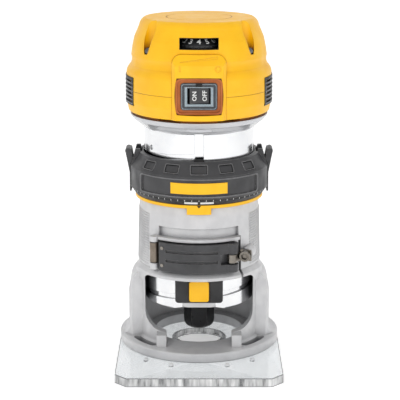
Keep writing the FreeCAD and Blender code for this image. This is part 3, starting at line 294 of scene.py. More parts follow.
@dataclass(frozen=True)
class CastGrip(Finish):
    """Die-cast and tumbled aluminium with pebbled grip fields at both sides.

    Args:
        pebble_mm: width of one pebble.
        grip_low: lower edge of the grip fields.
        grip_high: upper edge of the grip fields.
        waist: height at which the fields reach nearest to the front.
        waist_side: distance from the middle plane at that height.
        bow: how fast the front line moves out above and below it.
        pebble_rise: height of a pebble beside the casting grain.
    """

    pebble_mm: float = 1.5
    grip_low: float = 0.057
    grip_high: float = 0.0935
    waist: float = 0.070
    waist_side: float = 0.0296
    bow: float = 5.0
    pebble_rise: float = 7.0

    def grip_field(self, tree: Tree, place: Socket) -> Socket:
        """Mask that is one on the grips and falls off along a curved front line."""
        parts = add(tree, "ShaderNodeSeparateXYZ", {0: place})
        side = math_node(tree, "ABSOLUTE", parts.outputs["X"])
        height = parts.outputs["Z"]
        from_waist = math_node(tree, "POWER", math_node(tree, "SUBTRACT", height, self.waist), 2.0)
        line = math_node(tree, "ADD", math_node(tree, "MULTIPLY", from_waist, self.bow), self.waist_side)
        inside = math_node(tree, "GREATER_THAN", side, line)
        low = math_node(tree, "GREATER_THAN", height, self.grip_low)
        high = math_node(tree, "LESS_THAN", height, self.grip_high)
        return math_node(tree, "MULTIPLY", inside, math_node(tree, "MULTIPLY", low, high))

    def relief(self, tree: Tree, place: Socket) -> Socket:
        """Fine casting grain, with coarse round pebbles on the grips."""
        grain = Finish.relief(self, tree, place)
        cells = add(tree, "ShaderNodeTexVoronoi", {
            "Vector": place, "Scale": 1 / (self.pebble_mm * MM), "Randomness": 0.75}, feature="SMOOTH_F1")
        domes = ramp(tree, cells.outputs["Distance"], [(0.15, 1.0), (0.6, 0.0)])
        mask = self.grip_field(tree, place)
        pebbles = math_node(tree, "MULTIPLY", math_node(tree, "MULTIPLY", domes, mask), self.pebble_rise)
        return math_node(tree, "ADD", grain, pebbles)


@dataclass(frozen=True)
class GroundTube(Finish):
    """Aluminium tube ground between centres: fine lines run round the axis.

    Args:
        line_mm: spacing of the grinding lines.
        aniso: stretch of the highlight across the lines.
        cast_tint: colour of the unground flare, sRGB hex.
        ground_radius: radius in metres past which the metal is as cast.
        cast_metal: metallic value of the flare.
        round_scale: noise scale round the tube, far coarser than along it.
    """

    line_mm: float = 0.35
    aniso: float = 0.55
    cast_tint: str = "C6C7CA"
    ground_radius: float = 0.0350
    cast_metal: float = 0.35
    round_scale: float = 30.0

    def unground(self, tree: Tree, place: Socket) -> Socket:
        """Mask that is one on the cast flare, which stands outside the ground cylinder."""
        flat = add(tree, "ShaderNodeVectorMath", {0: place, 1: (1.0, 1.0, 0.0)}, operation="MULTIPLY")
        reach = add(tree, "ShaderNodeVectorMath", {0: flat.outputs[0]}, operation="LENGTH")
        return math_node(tree, "GREATER_THAN", reach.outputs["Value"], self.ground_radius)

    def colour(self, tree: Tree, place: Socket) -> Socket:
        """Bright ground metal below, duller cast metal on the flare."""
        return mix(tree, self.unground(tree, place), Finish.colour(self, tree, place), linear(self.cast_tint))

    def metallic(self, tree: Tree, place: Socket) -> Any:
        """The oxide skin of the cast flare reflects less than the ground metal."""
        blend = add(tree, "ShaderNodeMapRange", {
            "Value": self.unground(tree, place), "To Min": self.metal, "To Max": self.cast_metal})
        return blend.outputs["Result"]

    def relief(self, tree: Tree, place: Socket) -> Socket:
        """Lines round the axis: noise squeezed along Z."""
        squeeze = add(tree, "ShaderNodeMapping", {
            "Vector": place, "Scale": (self.round_scale, self.round_scale, 1 / (self.line_mm * MM))})
        lines = add(tree, "ShaderNodeTexNoise", {"Vector": squeeze.outputs[0], "Scale": 1.0, "Detail": 3.0})
        return lines.outputs["Fac"]

    def dress(self, tree: Tree, shader: Node, place: Socket) -> None:
        """Stretch the highlight round the tube."""
        shader.inputs["Anisotropic"].default_value = self.aniso
        tangent = add(tree, "ShaderNodeTangent", direction_type="RADIAL", axis="Z")
        tree.links.new(tangent.outputs[0], shader.inputs["Tangent"])


@dataclass(frozen=True)
class ClearPlate(Finish):
    """Machined clear plastic: sees through, with faint scuffs and milled edges.

    Args:
        body: how much light the plastic lets through.
        haze: share of scattered light on the flat faces.
        cloud: colour of that scattered light, sRGB hex.
        sheet_mm: thickness of a flat sheet that stands on z = 0; 0 for a moulded piece.
        rim: share of the milled side faces that does not see through and shows painted refraction bays
            instead.
        bay_mm: width of the painted light and dark bays in the side faces.
    """

    body: float = 0.94
    haze: float = 0.0
    cloud: str = "B9BABC"
    sheet_mm: float = 0.0
    rim: float = 0.82
    bay_mm: float = 4.5

    def dress(self, tree: Tree, shader: Node, place: Socket) -> None:
        """Let light through the plastic."""
        shader.inputs["Transmission Weight"].default_value = self.body

    def edge_light(self, tree: Tree) -> tuple[Socket, Socket]:
        """Painted bays of light and dark on a milled side face, standing for what it refracts from the sheet
        behind it.

        Args:
            tree: shader tree.

        Returns:
            The shade of the bays and the share of the surface that they cover.
        """
        place = add(tree, "ShaderNodeTexCoord").outputs["Object"]
        level = add(tree, "ShaderNodeSeparateXYZ", {0: place}).outputs["Z"]
        inside = math_node(tree, "MULTIPLY", math_node(tree, "GREATER_THAN", level, 0.06 * MM),
                           math_node(tree, "LESS_THAN", level, (self.sheet_mm - 0.06) * MM))
        bays = add(tree, "ShaderNodeTexNoise", {
            "Vector": add(tree, "ShaderNodeVectorMath", {0: place, 1: (1.0, 1.0, 0.16)},
                          operation="MULTIPLY").outputs[0],
            "Scale": 1 / (self.bay_mm * MM), "Detail": 3.0, "Roughness": 0.62})
        shade = ramp(tree, bays.outputs["Fac"], [(0.36, 0.05), (0.44, 0.30), (0.54, 0.52), (0.66, 0.78)])
        # painted dark lines along the top and bottom edges of the side face
        from_middle = math_node(tree, "ABSOLUTE", math_node(tree, "SUBTRACT", level, self.sheet_mm / 2 * MM))
        border = math_node(tree, "GREATER_THAN", from_middle, (self.sheet_mm / 2 - 0.5) * MM)
        shade = mix(tree, border, shade, linear("6E6F70"))
        share = math_node(tree, "ADD", math_node(tree, "MULTIPLY", inside, self.rim - self.haze), self.haze)
        return shade, share

    def surface(self, tree: Tree, shader: Node) -> Socket:
        """Let the light of lamps through too, so that what is behind stays lit."""
        path = add(tree, "ShaderNodeLightPath")
        clear = add(tree, "ShaderNodeBsdfTransparent", {"Color": linear(self.tint)})
        seen = add(tree, "ShaderNodeMixShader", {
            0: path.outputs["Is Shadow Ray"], 1: shader.outputs[0], 2: clear.outputs[0]}).outputs[0]
        if not self.sheet_mm:
            return seen
        # the side faces show painted refraction bays; the flat faces show the scattered haze
        shade, share = self.edge_light(tree)
        flat = math_node(tree, "LESS_THAN", share, (self.haze + self.rim) / 2)
        tone = mix(tree, flat, shade, linear(self.cloud))
        haze_and_painted_bays = add(tree, "ShaderNodeBsdfDiffuse", {"Color": tone})
        return add(tree, "ShaderNodeMixShader", {0: share, 1: seen, 2: haze_and_painted_bays.outputs[0]}).outputs[0]


@dataclass(frozen=True)
class WoundWire(Finish):
    """Enamelled copper wire laid side by side.

    Args:
        wire_mm: wire thickness.
    """

    wire_mm: float = 0.6

    def relief(self, tree: Tree, place: Socket) -> Socket:
        """Round strands beside each other."""
        wave = add(tree, "ShaderNodeTexWave", {
            "Vector": place, "Scale": 1 / (self.wire_mm * MM * 3.2), "Distortion": 1.5, "Detail": 1.0},
            wave_type="RINGS", rings_direction="Z")
        return wave.outputs["Fac"]


@dataclass(frozen=True)
class StackedSheet(Finish):
    """Electrical steel sheets pressed into a stack.

    Args:
        sheet_mm: thickness of one sheet as drawn; real sheets are finer.
    """

    sheet_mm: float = 0.9

    def relief(self, tree: Tree, place: Socket) -> Socket:
        """Sheet edges along the axis."""
        wave = add(tree, "ShaderNodeTexWave", {
            "Vector": place, "Scale": 1 / (self.sheet_mm * MM * 6.3), "Distortion": 0.2},
            wave_type="BANDS", bands_direction="Z")
        return wave.outputs["Fac"]


class Slot(Enum):
    """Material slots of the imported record."""

    CLEAR_BASE = "clear_base"
    CAST = "cast_aluminium"
    GROUND = "ground_aluminium"
    BRIGHT = "bright_steel"
    BLUED = "blued_steel"
    SPRING = "spring_steel"
    STEEL = "plain_steel"
    SHEET = "lamination"
    COPPER = "copper"
    BRASS = "brass"
    CARBON = "carbon"
    YELLOW = "yellow_plastic"
    DARK = "dark_plastic"
    BLACK = "black_plastic"
    GREY = "grey_plastic"
    BOOT = "clear_boot"
    LENS = "lens"
    BOARD = "board"
    RUBBER = "black_rubber"


# each hollow colour below is painted shade, laid into wells, grooves and crevices where walls face each other
FINISHES: dict[Slot, Finish] = {
    # machined polycarbonate: water clear, faintly scuffed by the work
    Slot.CLEAR_BASE: ClearPlate("clear_polycarbonate", "F6F8F9", "EEF2F4", 0.05, grain_mm=1.2, bump=0.03,
                                edge=0.6, edge_mm=0.3, ior=1.585, spread=0.03, body=0.97, haze=0.26,
                                sheet_mm=5.5),
    # die-cast and tumbled aluminium: even light grey, soft gloss, pebbled grips
    Slot.CAST: CastGrip("tumbled_cast_aluminium", "D2D2D3", "C6C6C8", 0.50, metal=0.35, grain_mm=0.45,
                        bump=0.20, edge=0.45, edge_mm=0.5, painted_shade="77777A", shade_reach_mm=9.0),
    # centreless-ground tube: bright, with lines round the axis
    Slot.GROUND: GroundTube("ground_aluminium_tube", "ECEDEE", "E2E3E5", 0.17, metal=1.0, grain_mm=0.35,
                            bump=0.10, edge=0.2, edge_mm=0.25, spread=0.05, painted_shade="8A8B8E", shade_reach_mm=4.0),
    # zinc-plated steel, handled and browned: warm and rather dull
    Slot.BRIGHT: Finish("zinc_plated_steel", "948F88", "7C766E", 0.28, metal=1.0, grain_mm=0.3, bump=0.08,
                        painted_shade="3A3632", shade_reach_mm=3.0),
    # black oxide steel: near black, oily gloss, worn on the corners
    Slot.BLUED: Finish("black_oxide_steel", "2B2B2D", "1D1D1F", 0.36, metal=0.5, grain_mm=0.3, bump=0.12,
                       edge=0.25, edge_mm=0.5),
    # tempered spring steel strap: warm brown-grey
    Slot.SPRING: Finish("tempered_spring_steel", "8E8377", "6F655B", 0.36, metal=0.8, grain_mm=0.4, bump=0.1,
                        painted_shade="3B3430", shade_reach_mm=3.0),
    # turned and ground steel
    Slot.STEEL: Finish("ground_steel", "9FA1A4", "8B8D90", 0.26, metal=1.0, grain_mm=0.25, bump=0.08),
    # varnished electrical steel sheets, dull grey edges
    Slot.SHEET: StackedSheet("electrical_steel_stack", "6A6866", "55534F", 0.45, metal=0.8, bump=0.5),
    # copper wire under red-brown enamel, glossy
    Slot.COPPER: WoundWire("enamelled_copper_wire", "B4612F", "8F4521", 0.30, metal=0.8, bump=0.8),
    # drawn brass tube: warm, smooth
    Slot.BRASS: Finish("drawn_brass", "C7A350", "AE8B3D", 0.28, metal=1.0, grain_mm=0.3, bump=0.06),
    # pressed carbon: dull black, granular
    Slot.CARBON: Finish("pressed_carbon", "1C1C1D", "2A2A2B", 0.6, grain_mm=0.3, bump=0.25),
    # moulded ABS with a fine spark-eroded grain; painted orange-brown shade in its wells
    Slot.YELLOW: Finish("yellow_abs", "FBC000", "F7B800", 0.44, grain_mm=0.55, bump=0.10, edge=0.04,
                        edge_mm=0.6, ior=1.53, spread=0.08, painted_shade="A85A20", shade_reach_mm=7.0),
    # glass-filled nylon: dark grey, satin, slightly cloudy
    Slot.DARK: Finish("glass_filled_nylon", "3D3D3F", "323234", 0.46, grain_mm=0.5, bump=0.16, edge=0.22,
                      edge_mm=0.45, ior=1.53, painted_shade="0B0B0B", shade_reach_mm=3.0),
    # black nylon: satin, deeper than the grey parts
    Slot.BLACK: Finish("black_nylon", "242426", "1B1B1D", 0.48, grain_mm=0.5, bump=0.16, edge=0.15,
                       edge_mm=0.35, ior=1.53, painted_shade="050505", shade_reach_mm=3.0),
    # smooth slate-grey acetal of the switch frame
    Slot.GREY: Finish("slate_acetal", "3A3E44", "30343A", 0.30, grain_mm=0.8, bump=0.05, edge=0.3,
                      edge_mm=0.35, painted_shade="0C0D0F", shade_reach_mm=2.5),
    # clear silicone lip over the switch: milky blue-grey
    Slot.BOOT: ClearPlate("clear_silicone", "A9B6BD", "97A5AD", 0.22, grain_mm=0.8, bump=0.04, ior=1.41,
                          body=0.2),
    # frosted lamp lens
    Slot.LENS: ClearPlate("frosted_lens", "F2F4EC", "E6E8DF", 0.35, grain_mm=0.4, bump=0.1, ior=1.49,
                          body=0.85),
    # glass-fibre board under green lacquer
    Slot.BOARD: Finish("lacquered_board", "1F5B36", "18492B", 0.3, grain_mm=0.9, bump=0.1, coat=0.4),
    # matt moulded rubber
    Slot.RUBBER: Finish("black_rubber", "1D1D1E", "262627", 0.7, grain_mm=0.35, bump=0.2, edge=0.1, ior=1.52),
}


class Trim(Enum):
    """Finishes that only the fine detail has."""

    WHITE_INK = "white_ink"
    RAISED_GREY = "raised_grey"
    SHADOW_LIP = "shadow_lip"
    WELL_SCREW = "well_screw"
    PITCH = "pitch"
    STUD = "stud"


# each hollow colour below is painted shade in wells and crevices, as in FINISHES
TRIMS: dict[Trim, Finish] = {
    # pad-printed white ink: flat, faintly uneven
    Trim.WHITE_INK: Finish("pad_printed_white", "E9EAE8", "D6D7D4", 0.55, grain_mm=0.4, bump=0.06, edge=0.0,
                           edge_mm=0.05),
    # painted highlight: the same nylon made paler, on the crown of a moulded ridge
    Trim.RAISED_GREY: Finish("nylon_painted_highlight", "6E6E70", "5C5C5E", 0.36, grain_mm=0.5, bump=0.12, edge=0.3,
                             edge_mm=0.2, ior=1.53),
    # painted shadow: amber-brown sheet round the switch that stands for the yellow in shade in the sunk
    # field, with darker painted shade where walls close in
    Trim.SHADOW_LIP: Finish("amber_painted_shadow", "BE6A2E", "A25522", 0.5, grain_mm=0.5, bump=0.14, edge=0.1,
                           edge_mm=0.25, ior=1.48, painted_shade="5E2A0E", shade_reach_mm=2.0),
    # screws deep in the wells: dull zinc, with painted dark shade where walls close in
    Trim.WELL_SCREW: Finish("zinc_steel_shaded_wells", "86878A", "5F6063", 0.4, metal=0.85, grain_mm=0.3, bump=0.12,
                            painted_shade="0E0D0C", shade_reach_mm=2.5),
    # turned studs, polished bright
    Trim.STUD: Finish("polished_steel_stud", "EDEEEF", "DADBDD", 0.22, metal=0.3, grain_mm=0.3, bump=0.06),
    # near-black nylon of the window frame and cup, the catches, the arrow and the pad gaps: matt, drinks the
    # light; in the pad gaps it is painted shade
    Trim.PITCH: Finish("pitch_black_nylon", "101012", "0A0A0B", 0.7, grain_mm=0.5, bump=0.12, edge=0.05,
                       edge_mm=0.2, ior=1.5),
}


# nodes that are finished apart from the rest of their slot
NODE_FINISH: dict[str, Trim] = {"sub_base_studs": Trim.STUD}


class Paints:
    """Makes each finish once and hands it out."""

    def __init__(self) -> None:
        """Start with no material made."""
        self._made: dict[Enum, bpy.types.Material] = {}

    def get(self, key: Enum) -> bpy.types.Material:
        """Return the material of a slot or trim, making it the first time."""
        if key not in self._made:
            finish = FINISHES[key] if isinstance(key, Slot) else TRIMS[key]
            self._made[key] = finish.build()
        return self._made[key]

    def coat_frame(self, frame: dict) -> None:
        """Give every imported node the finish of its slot."""
        for part in frame["record"]["subparts"]:
            node = frame["nodes"][part["node"]]
            node.data.materials.clear()
            finish = NODE_FINISH.get(part["node"], Slot(part["material_slot"]))
            node.data.materials.append(self.get(finish))


# ---------------------------------------------------------------------------
# Mesh helpers
# ---------------------------------------------------------------------------
def settle(name: str, mesh: bpy.types.Mesh, body: str, slot: Slot, paints: Paints,
           trim: Optional[Trim] = None) -> bpy.types.Object:
    """Turn a finished mesh into a piece that rides on a body.

    Args:
        name: piece name.
        mesh: mesh in the row frame.
        body: CAD body that carries the piece.
        slot: record slot that the piece belongs to.
        paints: source of materials.
        trim: finish to use in place of the slot's own.

    Returns:
        The new object.
    """
    obj = bpy.data.objects.new(name, mesh)
    bpy.context.scene.collection.objects.link(obj)
    mesh.materials.clear()
    mesh.materials.append(paints.get(trim or slot))
    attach(obj, body)
    LOG.info("%s on %s: %d faces", name, body, len(mesh.polygons))
    return obj


def mesh_from(name: str, bm: bmesh.types.BMesh, smooth_deg: float = 35.0) -> bpy.types.Mesh:
    """Close a bmesh into a mesh with outward faces and soft shading below an angle.

    Args:
        name: mesh name.
        bm: source, freed here.
        smooth_deg: edges sharper than this stay sharp.

    Returns:
        The mesh.
    """
    bmesh.ops.remove_doubles(bm, verts=bm.verts, dist=1e-6)
    bmesh.ops.recalc_face_normals(bm, faces=bm.faces)
    limit = math.radians(smooth_deg)
    for face in bm.faces:
        face.smooth = True
    for edge in bm.edges:
        edge.smooth = len(edge.link_faces) == 2 and edge.calc_face_angle(0.0) < limit
    mesh = bpy.data.meshes.new(name)
    bm.to_mesh(mesh)
    bm.free()
    return mesh


def lathe(bm: bmesh.types.BMesh, profile: list[tuple[float, float]], start: float = 0.0,
          sweep: float = 360.0, steps: int = 128) -> None:
    """Turn a closed (radius, z) outline about Z, with end faces when it isn't a full turn.

    Args:
        bm: mesh that gets the faces.
        profile: outline points in metres.
        start: first angle in degrees.
        sweep: angle turned through.
        steps: pieces round the sweep.
    """
    full = sweep >= 359.9
    rings = []
    for step in range(steps if full else steps + 1):
        turn = math.radians(start + sweep * step / steps)
        rings.append([bm.verts.new((r * math.cos(turn), r * math.sin(turn), z)) for r, z in profile])
    count = len(profile)
    pairs = list(zip(rings, rings[1:])) + ([(rings[-1], rings[0])] if full else [])
    for first, second in pairs:
        for index in range(count):
            follow = (index + 1) % count
            bm.faces.new((first[index], second[index], second[follow], first[follow]))
    if not full:
        bm.faces.new(rings[0])
        bm.faces.new(list(reversed(rings[-1])))


def bake_nodes(name: str, tree: Tree, inputs: dict[str, Any]) -> bpy.types.Mesh:
    """Run a geometry tree once and keep its result as a plain mesh.

    Args:
        name: name of the mesh.
        tree: geometry tree with named inputs.
        inputs: values by input name.

    Returns:
        The plain mesh.
    """
    seed = bpy.data.objects.new(name + "_seed", bpy.data.meshes.new(name + "_seed"))
    bpy.context.scene.collection.objects.link(seed)
    modifier = seed.modifiers.new("nodes", "NODES")
    modifier.node_group = tree
    names = {item.name: item.identifier for item in tree.interface.items_tree if item.item_type == "SOCKET"}
    for key, value in inputs.items():
        modifier[names[key]] = value
    graph = bpy.context.evaluated_depsgraph_get()
    mesh = bpy.data.meshes.new_from_object(seed.evaluated_get(graph), depsgraph=graph)
    mesh.name = name
    seed.modifiers.remove(modifier)
    bpy.data.objects.remove(seed)
    return mesh


def geometry_tree(name: str, inputs: dict[str, tuple[str, Any]]) -> tuple[Tree, Node, Node]:
    """Start a geometry tree with named inputs.

    Args:
        name: tree name.
        inputs: input name mapped to socket type and default.

    Returns:
        The tree, its input node and its output node.
    """
    tree = bpy.data.node_groups.new(name, "GeometryNodeTree")
    tree.interface.new_socket("Geometry", in_out="OUTPUT", socket_type="NodeSocketGeometry")
    for key, (kind, default) in inputs.items():
        socket = tree.interface.new_socket(key, in_out="INPUT", socket_type=kind)
        if default is not None:
            socket.default_value = default
    return tree, tree.nodes.new("NodeGroupInput"), tree.nodes.new("NodeGroupOutput")


# ---------------------------------------------------------------------------
# Outlines and shells
# ---------------------------------------------------------------------------
PEBBLE_RADIUS = 0.00062
PEBBLE_SQUASH = 0.6
Point = tuple[float, float]
Place = Callable[[float, float, float], Vector]


def soft_rectangle(wide: float, tall: float, corner: float, middle: Point = (0.0, 0.0)) -> list[Point]:
    """Outline of a rectangle with round corners.

    Args:
        wide: full width.
        tall: full height.
        corner: corner radius.
        middle: centre of the rectangle.

    Returns:
        Points in order, with extra ones along the long sides so that it may be wrapped.
    """
    points: list[Point] = []
    spots = ((1, 1, 0), (-1, 1, 90), (-1, -1, 180), (1, -1, 270))
    for index, (side, up, first) in enumerate(spots):
        centre = (middle[0] + side * (wide / 2 - corner), middle[1] + up * (tall / 2 - corner))
        for step in range(6):
            turn = math.radians(first + 90 * step / 5)
            points.append((centre[0] + corner * math.cos(turn), centre[1] + corner * math.sin(turn)))
        if index in (0, 2):
            reach = wide / 2 - corner
            for step in range(1, 16):
                points.append((middle[0] + side * reach * (1 - step / 8), middle[1] + up * tall / 2))
    return points


def on_drum(radius: float) -> Place:
    """Wrap a flat outline round the front of a drum; depth runs outward."""
    def place(across: float, up: float, depth: float) -> Vector:
        turn = across / radius
        return Vector(((radius + depth) * math.sin(turn), -(radius + depth) * math.cos(turn), up))
    return place


def on_wall(front: float) -> Place:
    """Lay a flat outline on an upright wall; depth runs toward the front."""
    def place(across: float, up: float, depth: float) -> Vector:
        return Vector((across, front - depth, up))
    return place


def hoop(bm: bmesh.types.BMesh, outer: list[Point], inner: list[Point], low: float, high: float,
         place: Place) -> None:
    """Add a closed band between two outlines of equal count.

    Args:
        bm: mesh that gets the band.
        outer: outer outline.
        inner: inner outline.
        low: depth of its back.
        high: depth of its front.
        place: turns across, up and depth into a point.
    """
    rows = [[bm.verts.new(place(x, z, depth)) for x, z in loop]
            for loop, depth in ((outer, low), (outer, high), (inner, high), (inner, low))]
    count = len(outer)
    for near, far in zip(rows, rows[1:] + rows[:1]):
        for index in range(count):
            follow = (index + 1) % count
            bm.faces.new((near[index], near[follow], far[follow], far[index]))


def scaled(loop: list[Point], middle: Point, inset: float, wide: float, tall: float) -> list[Point]:
    """Draw an outline in by the same distance at all sides."""
    sx, sz = 1 - 2 * inset / wide, 1 - 2 * inset / tall
    return [(middle[0] + (x - middle[0]) * sx, middle[1] + (z - middle[1]) * sz) for x, z in loop]


def divided(loop: list[Point], steps: int = 8) -> list[Point]:
    """Cut every side of an outline into equal steps, so that it can follow a curved wall."""
    return [(a[0] + (b[0] - a[0]) * step / steps, a[1] + (b[1] - a[1]) * step / steps)
            for a, b in zip(loop, loop[1:] + loop[:1]) for step in range(steps)]


def slab(bm: bmesh.types.BMesh, loop: list[Point], low: float, high: float, place: Place) -> None:
    """Add a closed plate with a fan on both faces.

    Args:
        bm: mesh that gets the plate.
        loop: outline that sees its own middle.
        low: depth of its back.
        high: depth of its front.
        place: turns across, up and depth into a point.
    """
    count = len(loop)
    cx = sum(x for x, _ in loop) / count
    cz = sum(z for _, z in loop) / count
    base = [bm.verts.new(place(x, z, low)) for x, z in loop]
    top = [bm.verts.new(place(x, z, high)) for x, z in loop]
    mid_low, mid_high = bm.verts.new(place(cx, cz, low)), bm.verts.new(place(cx, cz, high))
    for index in range(count):
        follow = (index + 1) % count
        bm.faces.new((base[index], base[follow], top[follow], top[index]))
        bm.faces.new((base[follow], base[index], mid_low))
        bm.faces.new((top[index], top[follow], mid_high))


def lettering(words: str, height: float, depth: float) -> bmesh.types.BMesh:
    """Letters or numbers as a closed mesh, centred, lying in XY and rising along +Z.

    Args:
        words: what to write; generic marks only.
        height: height of a capital.
        depth: thickness of the ink.

    Returns:
        A bmesh with the letters.
    """
    curve = bpy.data.curves.new("lettering", "FONT")
    curve.body = words
    curve.size = height * 1.4
    curve.align_x = "CENTER"
    curve.align_y = "CENTER"
    curve.extrude = depth / 2
    curve.resolution_u = 3
    curve.offset = height * 0.03
    holder = bpy.data.objects.new("lettering", curve)
    bpy.context.scene.collection.objects.link(holder)
    graph = bpy.context.evaluated_depsgraph_get()
    mesh = bpy.data.meshes.new_from_object(holder.evaluated_get(graph), depsgraph=graph)
    bpy.data.objects.remove(holder)
    bm = bmesh.new()
    bm.from_mesh(mesh)
    bpy.data.meshes.remove(mesh)
    bmesh.ops.remove_doubles(bm, verts=bm.verts, dist=1e-7)
    return bm


def merge_in(target: bmesh.types.BMesh, source: bmesh.types.BMesh, move: Matrix) -> None:
    """Copy one bmesh into another through a transform and free the source."""
    source.transform(move)
    temp = bpy.data.meshes.new("temp")
    source.to_mesh(temp)
    source.free()
    target.from_mesh(temp)
    bpy.data.meshes.remove(temp)


# ---------------------------------------------------------------------------
# Geometry Nodes
# ---------------------------------------------------------------------------
def close_tree(tree: Tree, target: Node, copies: Socket, paint: bpy.types.Material,
               smooth: bool = False) -> None:
    """End a geometry tree: make the copies real, paint them and send them out.

    Args:
        tree: geometry tree.
        target: output node.
        copies: geometry to send out.
        paint: material of the result.
        smooth: shade the faces smooth.
    """
    shape = add(tree, "GeometryNodeRealizeInstances", {0: copies}).outputs[0]
    if smooth:
        shape = add(tree, "GeometryNodeSetShadeSmooth", {"Geometry": shape, "Shade Smooth": True}).outputs[0]
    painted = add(tree, "GeometryNodeSetMaterial", {"Geometry": shape, "Material": paint})
    tree.links.new(painted.outputs[0], target.inputs[0])


def moved(tree: Tree, shape: Socket, **moves: Any) -> Socket:
    """Move, turn or scale a geometry by sockets or values named as the node's inputs are."""
    return add(tree, "GeometryNodeTransform", {"Geometry": shape, **moves}).outputs[0]


def ring_tree(paint: bpy.types.Material) -> Tree:
    """Tree that sets a small block at even steps round the motor axis.

    Args:
        paint: material of the blocks.

    Returns:
        A tree with the inputs Count, Radius, Height, Size and Turn.
    """
    tree, source, target = geometry_tree("round_the_axis", {
        "Count": ("NodeSocketInt", 60), "Radius": ("NodeSocketFloat", 0.04),
        "Height": ("NodeSocketFloat", 0.1),
        "Size": ("NodeSocketVector", (0.001, 0.001, 0.001)), "Turn": ("NodeSocketFloat", 0.0)})
    circle = add(tree, "GeometryNodeMeshCircle", {"Vertices": source.outputs["Count"],
                                                 "Radius": source.outputs["Radius"]}, fill_type="NONE")
    place = add(tree, "GeometryNodeInputPosition")
    facing = add(tree, "FunctionNodeAlignRotationToVector", {"Vector": place.outputs[0]}, axis="X")
    block = add(tree, "GeometryNodeMeshCube", {"Size": source.outputs["Size"]})
    copies = add(tree, "GeometryNodeInstanceOnPoints", {
        "Points": circle.outputs["Mesh"], "Instance": block.outputs["Mesh"], "Rotation": facing.outputs[0]})
    lift = add(tree, "ShaderNodeCombineXYZ", {"Z": source.outputs["Height"]})
    spin = add(tree, "ShaderNodeCombineXYZ", {"Z": source.outputs["Turn"]})
    raised = moved(tree, copies.outputs[0], Translation=lift.outputs[0], Rotation=spin.outputs[0])
    close_tree(tree, target, raised, paint)
    return tree


def screw_tree(paint: bpy.types.Material) -> Tree:
    """Tree that sets one pan head screw with a six-point recess at each of four corners.

    Args:
        paint: material of the screws.

    Returns:
        A tree with the inputs Across, Along, Floor, Head, Thick and Recess.
    """
    tree, source, target = geometry_tree("four_screws", {
        "Across": ("NodeSocketFloat", 0.058), "Along": ("NodeSocketFloat", 0.048),
        "Floor": ("NodeSocketFloat", 0.193), "Head": ("NodeSocketFloat", 0.0035),
        "Thick": ("NodeSocketFloat", 0.0026), "Recess": ("NodeSocketFloat", 0.0018)})
    out = source.outputs
    half = math_node(tree, "MULTIPLY", out["Thick"], 0.5)
    drum = add(tree, "GeometryNodeMeshCylinder", {"Vertices": 40, "Radius": out["Head"], "Depth": half})
    crown = add(tree, "GeometryNodeMeshCone", {
        "Vertices": 40, "Radius Top": math_node(tree, "MULTIPLY", out["Head"], 0.72),
        "Radius Bottom": out["Head"], "Depth": half})
    rise = add(tree, "ShaderNodeCombineXYZ", {"Z": math_node(tree, "MULTIPLY", half, 0.5)})
    crown_up = moved(tree, crown.outputs["Mesh"], Translation=rise.outputs[0])
    head = add(tree, "GeometryNodeMeshBoolean", {1: drum.outputs["Mesh"]}, operation="UNION", solver="EXACT")
    tree.links.new(crown_up, head.inputs[1])
    star = add(tree, "GeometryNodeCurveStar", {
        "Points": 6, "Inner Radius": math_node(tree, "MULTIPLY", out["Recess"], 0.68),
        "Outer Radius": out["Recess"]})
    face = add(tree, "GeometryNodeFillCurve", {0: star.outputs[0]})
    sides = add(tree, "GeometryNodeExtrudeMesh", {
        "Mesh": face.outputs[0], "Offset Scale": out["Thick"], "Individual": False}, mode="FACES")
    under = add(tree, "GeometryNodeFlipFaces", {0: face.outputs[0]})
    both = add(tree, "GeometryNodeJoinGeometry")
    tree.links.new(sides.outputs["Mesh"], both.inputs[0])
    tree.links.new(under.outputs[0], both.inputs[0])
    closed = add(tree, "GeometryNodeMergeByDistance", {0: both.outputs[0]})
    closed.inputs["Distance"].default_value = 1e-6
    cut = add(tree, "GeometryNodeMeshBoolean", {0: head.outputs["Mesh"]},
              operation="DIFFERENCE", solver="EXACT")
    tree.links.new(closed.outputs[0], cut.inputs[1])
    grid = add(tree, "GeometryNodeMeshGrid", {
        "Size X": out["Across"], "Size Y": out["Along"], "Vertices X": 2, "Vertices Y": 2})
    copies = add(tree, "GeometryNodeInstanceOnPoints", {
        "Points": grid.outputs["Mesh"], "Instance": cut.outputs["Mesh"]})
    lift = add(tree, "ShaderNodeCombineXYZ", {"Z": math_node(tree, "ADD", out["Floor"], half)})
    close_tree(tree, target, moved(tree, copies.outputs[0], Translation=lift.outputs[0]), paint)
    return tree


